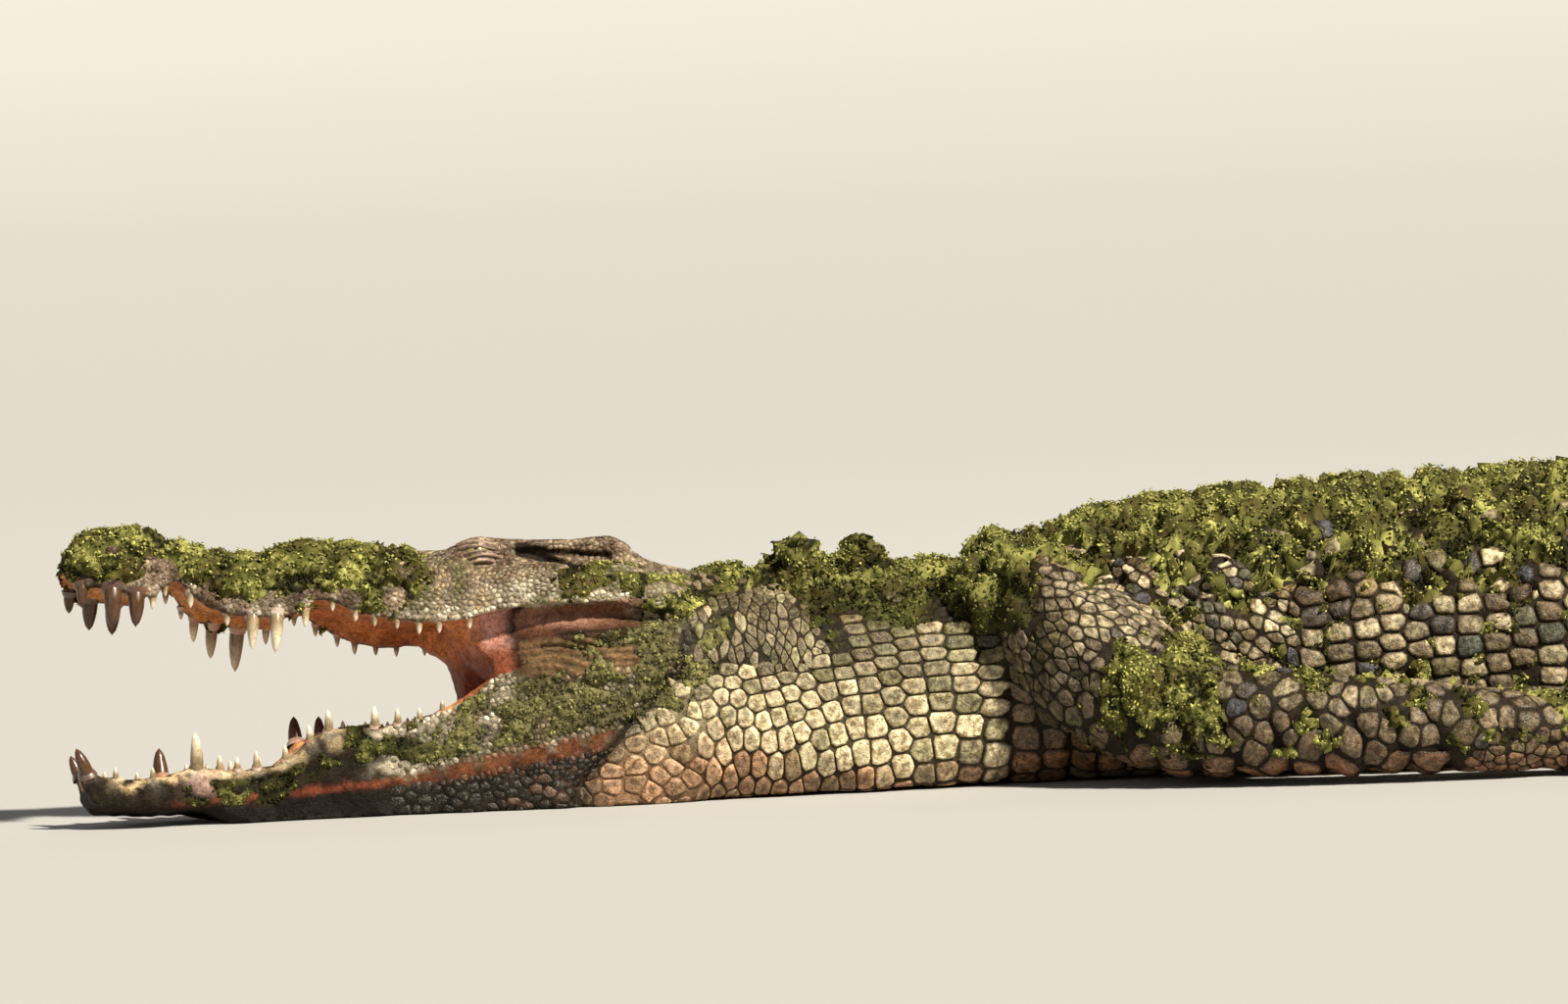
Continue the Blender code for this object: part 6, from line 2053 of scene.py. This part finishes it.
def eyeball(name, centre, side):
    """A ball of rings round the line of sight, so that pupil and iris follow the rings."""
    out, up, back = eye_frame(side)
    fall = np.linspace(0.001, math.pi - 0.001, EYE_RINGS)[:, None]
    turn = turns_round(EYE_SIDES)
    high, wide = np.sin(fall) * np.sin(turn), np.sin(fall) * np.cos(turn)
    points = centre + EYE_RADIUS * (np.cos(fall)[..., None] * out + high[..., None] * up + wide[..., None] * back)
    high, wide = high.ravel(), wide.ravel()
    front = (np.cos(fall) + 0 * turn).ravel() > 0
    slit = (np.abs(wide) < PUPIL * np.maximum(1 - (high / 0.62) ** 2, 0) ** 0.5) & front
    paint = layered(
        filled(IRIS, len(high)),
        (IRIS_DARK, 0.5 + 0.5 * np.sin(18 * np.arctan2(high, wide))),
        (EYE_WHITE, ramp(np.hypot(high, wide), 0.62, 0.70)),
        (PUPIL_BLACK, slit),
    )
    return tube_piece(name, [points], paint)


def furrows(share, width):
    """The wave of the wrinkles that run round a lid."""
    return np.sin(share * 24 + 1.9 * np.sin(1.7 * width))


def lid(name, centre, side, upper):
    """A lid over the ball: wrinkled along its edge, which turns in on the ball, and sunk in the skin all round, with
    painted shade in its furrows and along its edge.
    """
    out, up, back = eye_frame(side)
    width = np.linspace(-1.75, 1.75, LID_POINTS)[None]
    share = np.linspace(0, 1, LID_RINGS)[:, None] ** 1.2
    edge = (LID_OPEN[0] if upper else LID_OPEN[1]) * np.cos(width * 0.88) + 0.05 * width
    end = 1.35 if upper else -1.25
    rise = edge + (end - edge) * share
    lift = 0.0024 * ramp(share, 0.0, 0.10) + 0.0012 * furrows(share, width) * ramp(share, 0.03, 0.10)
    lift = lift - 0.0030 * ramp(np.abs(width), 1.15, 1.70) - 0.0010 * ramp(share, 0.65, 1.0)
    radius = (EYE_RADIUS + 0.0002 + lift)[..., None]
    stretch = 1 + 0.42 * ramp(np.abs(width), 0.4, 1.7)
    flat = np.cos(rise)[..., None] * (np.cos(width)[..., None] * out + (stretch * np.sin(width))[..., None] * back)
    points = centre + radius * (flat + np.sin(rise)[..., None] * up)
    on_skin, skin_way, _ = settle(points.reshape(-1, 3))
    sunk = (on_skin - LID_SUNK * skin_way).reshape(points.shape)
    melt = np.maximum(ramp(share, 0.50, 0.95) + 0 * width, ramp(np.abs(width), 1.15, 1.65) + 0 * share)[..., None]
    points = points + (sunk - points) * melt
    i, k = np.meshgrid(np.arange(LID_RINGS - 1), np.arange(LID_POINTS - 1), indexing="ij")
    corners = [i * LID_POINTS + k, i * LID_POINTS + k + 1, (i + 1) * LID_POINTS + k + 1, (i + 1) * LID_POINTS + k]
    faces = np.stack(corners, -1).reshape(-1, 4)
    if upper == (side > 0):
        faces = faces[:, ::-1]
    flat_points = points.reshape(-1, 3)
    furrow = furrows(share, width).ravel() + 0.5 * lumps(flat_points, 0.007, 74)
    rim = 1 - ramp((share + 0 * width).ravel(), 0.0, 0.06)
    paint = layered(
        hide_colour(flat_points),
        (PINK, 0.35),
        # painted shade in the furrows and along the edge
        (FURROW_SHADE, 0.9 * ramp(-furrow, -0.1, 0.8)),
        (LID_RIM_SHADE, 0.9 * rim),
    )
    return quick_mesh(name, flat_points, [faces], paint)


eyes, lids = [], []
for label, side, centre in zip(("left", "right"), (-1, 1), EYE_CENTRES):
    centre = np.array(centre).reshape(3)
    eyes.append(eyeball(f"eyeball_{label}", centre, side))
    lids.append(lid(f"upper_lid_{label}", centre, side, True))
    lids.append(lid(f"lower_lid_{label}", centre, side, False))
print("teeth, claws and eyes:", len(teeth), len(claws), len(eyes))

# %% [markdown]
# ## Materials
# One recipe serves every surface: the painted colour, mottled at two sizes, with stains and pale specks of dust and
# painted glints, over a bump of grain and fine cracks. What differs is how coarse, how deep and how wet each is.


# %% The recipe
def add_node(tree, kind, **values):
    """A node with its settings, and the values of its inputs by their names."""
    node = tree.nodes.new(kind)
    for name, value in values.items():
        if hasattr(node, name):
            setattr(node, name, value)
        else:
            node.inputs[name.replace("_", " ").title()].default_value = value
    return node


# pale specks: dust, and painted glints
PALE_DUST_AND_GLINT = (0.62, 0.55, 0.40, 1)
DARK_STAIN = (0.34, 0.27, 0.16, 1)


def surface(name, roughness, grain, depth, mottle, cracks=0.0, dust_and_glints=0.0, stain=0.0, soft=0.0, shine=0.0, gloss=0.5):
    """The painted colour with mottling, grain, cracks, pale specks of dust and painted glints, dark stains, soft
    flesh and a wet shine.
    """
    material = bpy.data.materials.new(name)
    material.use_nodes = True
    tree = material.node_tree
    link = tree.links.new
    shader = tree.nodes["Principled BSDF"]
    here = add_node(tree, "ShaderNodeTexCoord").outputs["Object"]
    paint = add_node(tree, "ShaderNodeAttribute", attribute_name="hide").outputs["Color"]

    def noise(scale, detail, rough):
        texture = add_node(tree, "ShaderNodeTexNoise", Scale=scale / grain, Detail=detail, Roughness=rough)
        link(here, texture.inputs["Vector"])
        return texture.outputs["Fac"]

    def ranged(value, low, high, least=0.0, most=1.0):
        node = add_node(tree, "ShaderNodeMapRange", From_Min=low, From_Max=high, To_Min=least, To_Max=most)
        link(value, node.inputs["Value"])
        return node.outputs[0]

    def mixed(blend, share, colour, other):
        node = add_node(tree, "ShaderNodeMix", data_type="RGBA", blend_type=blend)
        for socket, value in (("Factor", share), ("A", colour), ("B", other)):
            if isinstance(value, bpy.types.NodeSocket):
                link(value, node.inputs[socket])
            else:
                node.inputs[socket].default_value = value
        return node.outputs["Result"]

    def bumped(strength, height, below=None):
        node = add_node(tree, "ShaderNodeBump", Strength=strength, Distance=depth)
        link(height, node.inputs["Height"])
        if below:
            link(below, node.inputs["Normal"])
        return node.outputs[0]

    broad, fine = noise(0.16, 5.0, 0.62), noise(1.0, 6.0, 0.70)
    both = add_node(tree, "ShaderNodeMath", operation="ADD")
    link(broad, both.inputs[0])
    link(fine, both.inputs[1])
    colour = mixed("MULTIPLY", 1.0, paint, ranged(both.outputs[0], 0.65, 1.35, 1 - mottle, 1 + mottle))
    # pale specks: dust, and painted glints where wet scales would shine
    if dust_and_glints:
        colour = mixed("MIX", ranged(noise(2.6, 3.0, 0.6), 0.56, 0.70, 0.0, dust_and_glints), colour, PALE_DUST_AND_GLINT)
    if stain:
        colour = mixed("MULTIPLY", ranged(noise(0.60, 7.0, 0.76), 0.50, 0.55, 0.0, stain), colour, DARK_STAIN)
    relief = bumped(1.0, fine)
    if cracks:
        cells = add_node(tree, "ShaderNodeTexVoronoi", feature="DISTANCE_TO_EDGE", Scale=0.55 / grain)
        link(here, cells.inputs["Vector"])
        relief = bumped(cracks, ranged(cells.outputs["Distance"], 0.0, 0.09), relief)
    link(colour, shader.inputs["Base Color"])
    link(ranged(broad, 0.3, 0.7, max(roughness - 0.12, 0.03), roughness + 0.12), shader.inputs["Roughness"])
    link(relief, shader.inputs["Normal"])
    settings = {"Subsurface Weight": soft, "Subsurface Radius": (0.012, 0.004, 0.002), "Subsurface Scale": 0.4}
    settings |= {"Specular IOR Level": gloss, "Coat Weight": shine, "Coat Roughness": 0.08}
    for socket, value in settings.items():
        shader.inputs[socket].default_value = value
    return material


# %% What is made of what
hide_surface = surface("hide", 0.50, 0.0032, 0.0009, mottle=0.60, cracks=0.4, stain=0.55, soft=0.02, gloss=0.08)
scale_surface = surface("scale", 0.38, 0.0040, 0.0008, mottle=0.60, cracks=0.5, dust_and_glints=0.26, stain=0.80, gloss=0.26)
weed_surface = surface("weed", 0.60, 0.0030, 0.0006, mottle=0.45, gloss=0.06)
tooth_surface = surface("tooth", 0.28, 0.0025, 0.0002, mottle=0.30, stain=0.35, soft=0.06, shine=0.12, gloss=0.35)
flesh_surface = surface("flesh", 0.34, 0.0060, 0.0006, mottle=0.22, soft=0.10, shine=0.35)
claw_surface = surface("claw", 0.38, 0.0030, 0.0003, mottle=0.40, cracks=0.2)
eye_surface = surface("eye", 0.12, 0.0020, 0.00005, mottle=0.25, shine=1.0)
lid_surface = surface("lid", 0.44, 0.0022, 0.0004, mottle=0.35, cracks=0.5)

skin.data.materials.append(hide_surface)
for piece in coat:
    piece.data.materials.append(weed_surface if piece.name.startswith("weed") else scale_surface)

# %% [markdown]
# ## Handing over
# Every piece rides on the one body, takes its material and stands in for the solids that it covers.


# %% Riding, replacing and finishing
def hand_over(piece, slot, *nodes):
    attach(piece, "root")
    if nodes:
        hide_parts(*nodes)


FLESH = [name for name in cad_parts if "claw" not in name and not name.startswith("eye")]
hand_over(skin, "body_hide", *[name for name in FLESH if name != "tongue"])
for piece in coat:
    hand_over(piece, "head_hide" if "head" in piece.name else "body_hide")
for piece in teeth:
    piece.data.materials.append(tooth_surface if piece.name.startswith("teeth") else flesh_surface)
    hand_over(piece, "claws" if piece.name.startswith("teeth") else "head_hide")
tongue.data.materials.append(flesh_surface)
hand_over(tongue, "mouth_lining", "tongue")
for prefix, kind, piece in claws:
    piece.data.materials.append(claw_surface)
    hand_over(piece, "claws", *[f"{prefix}_{kind}_claw_{number + 1}" for number in range(CLAWED)])
for label, piece in zip(("left", "right"), eyes):
    piece.data.materials.append(eye_surface)
    hand_over(piece, "eyes", f"eye_{label}")
for piece in lids:
    piece.data.materials.append(lid_surface)
    hand_over(piece, "head_hide")
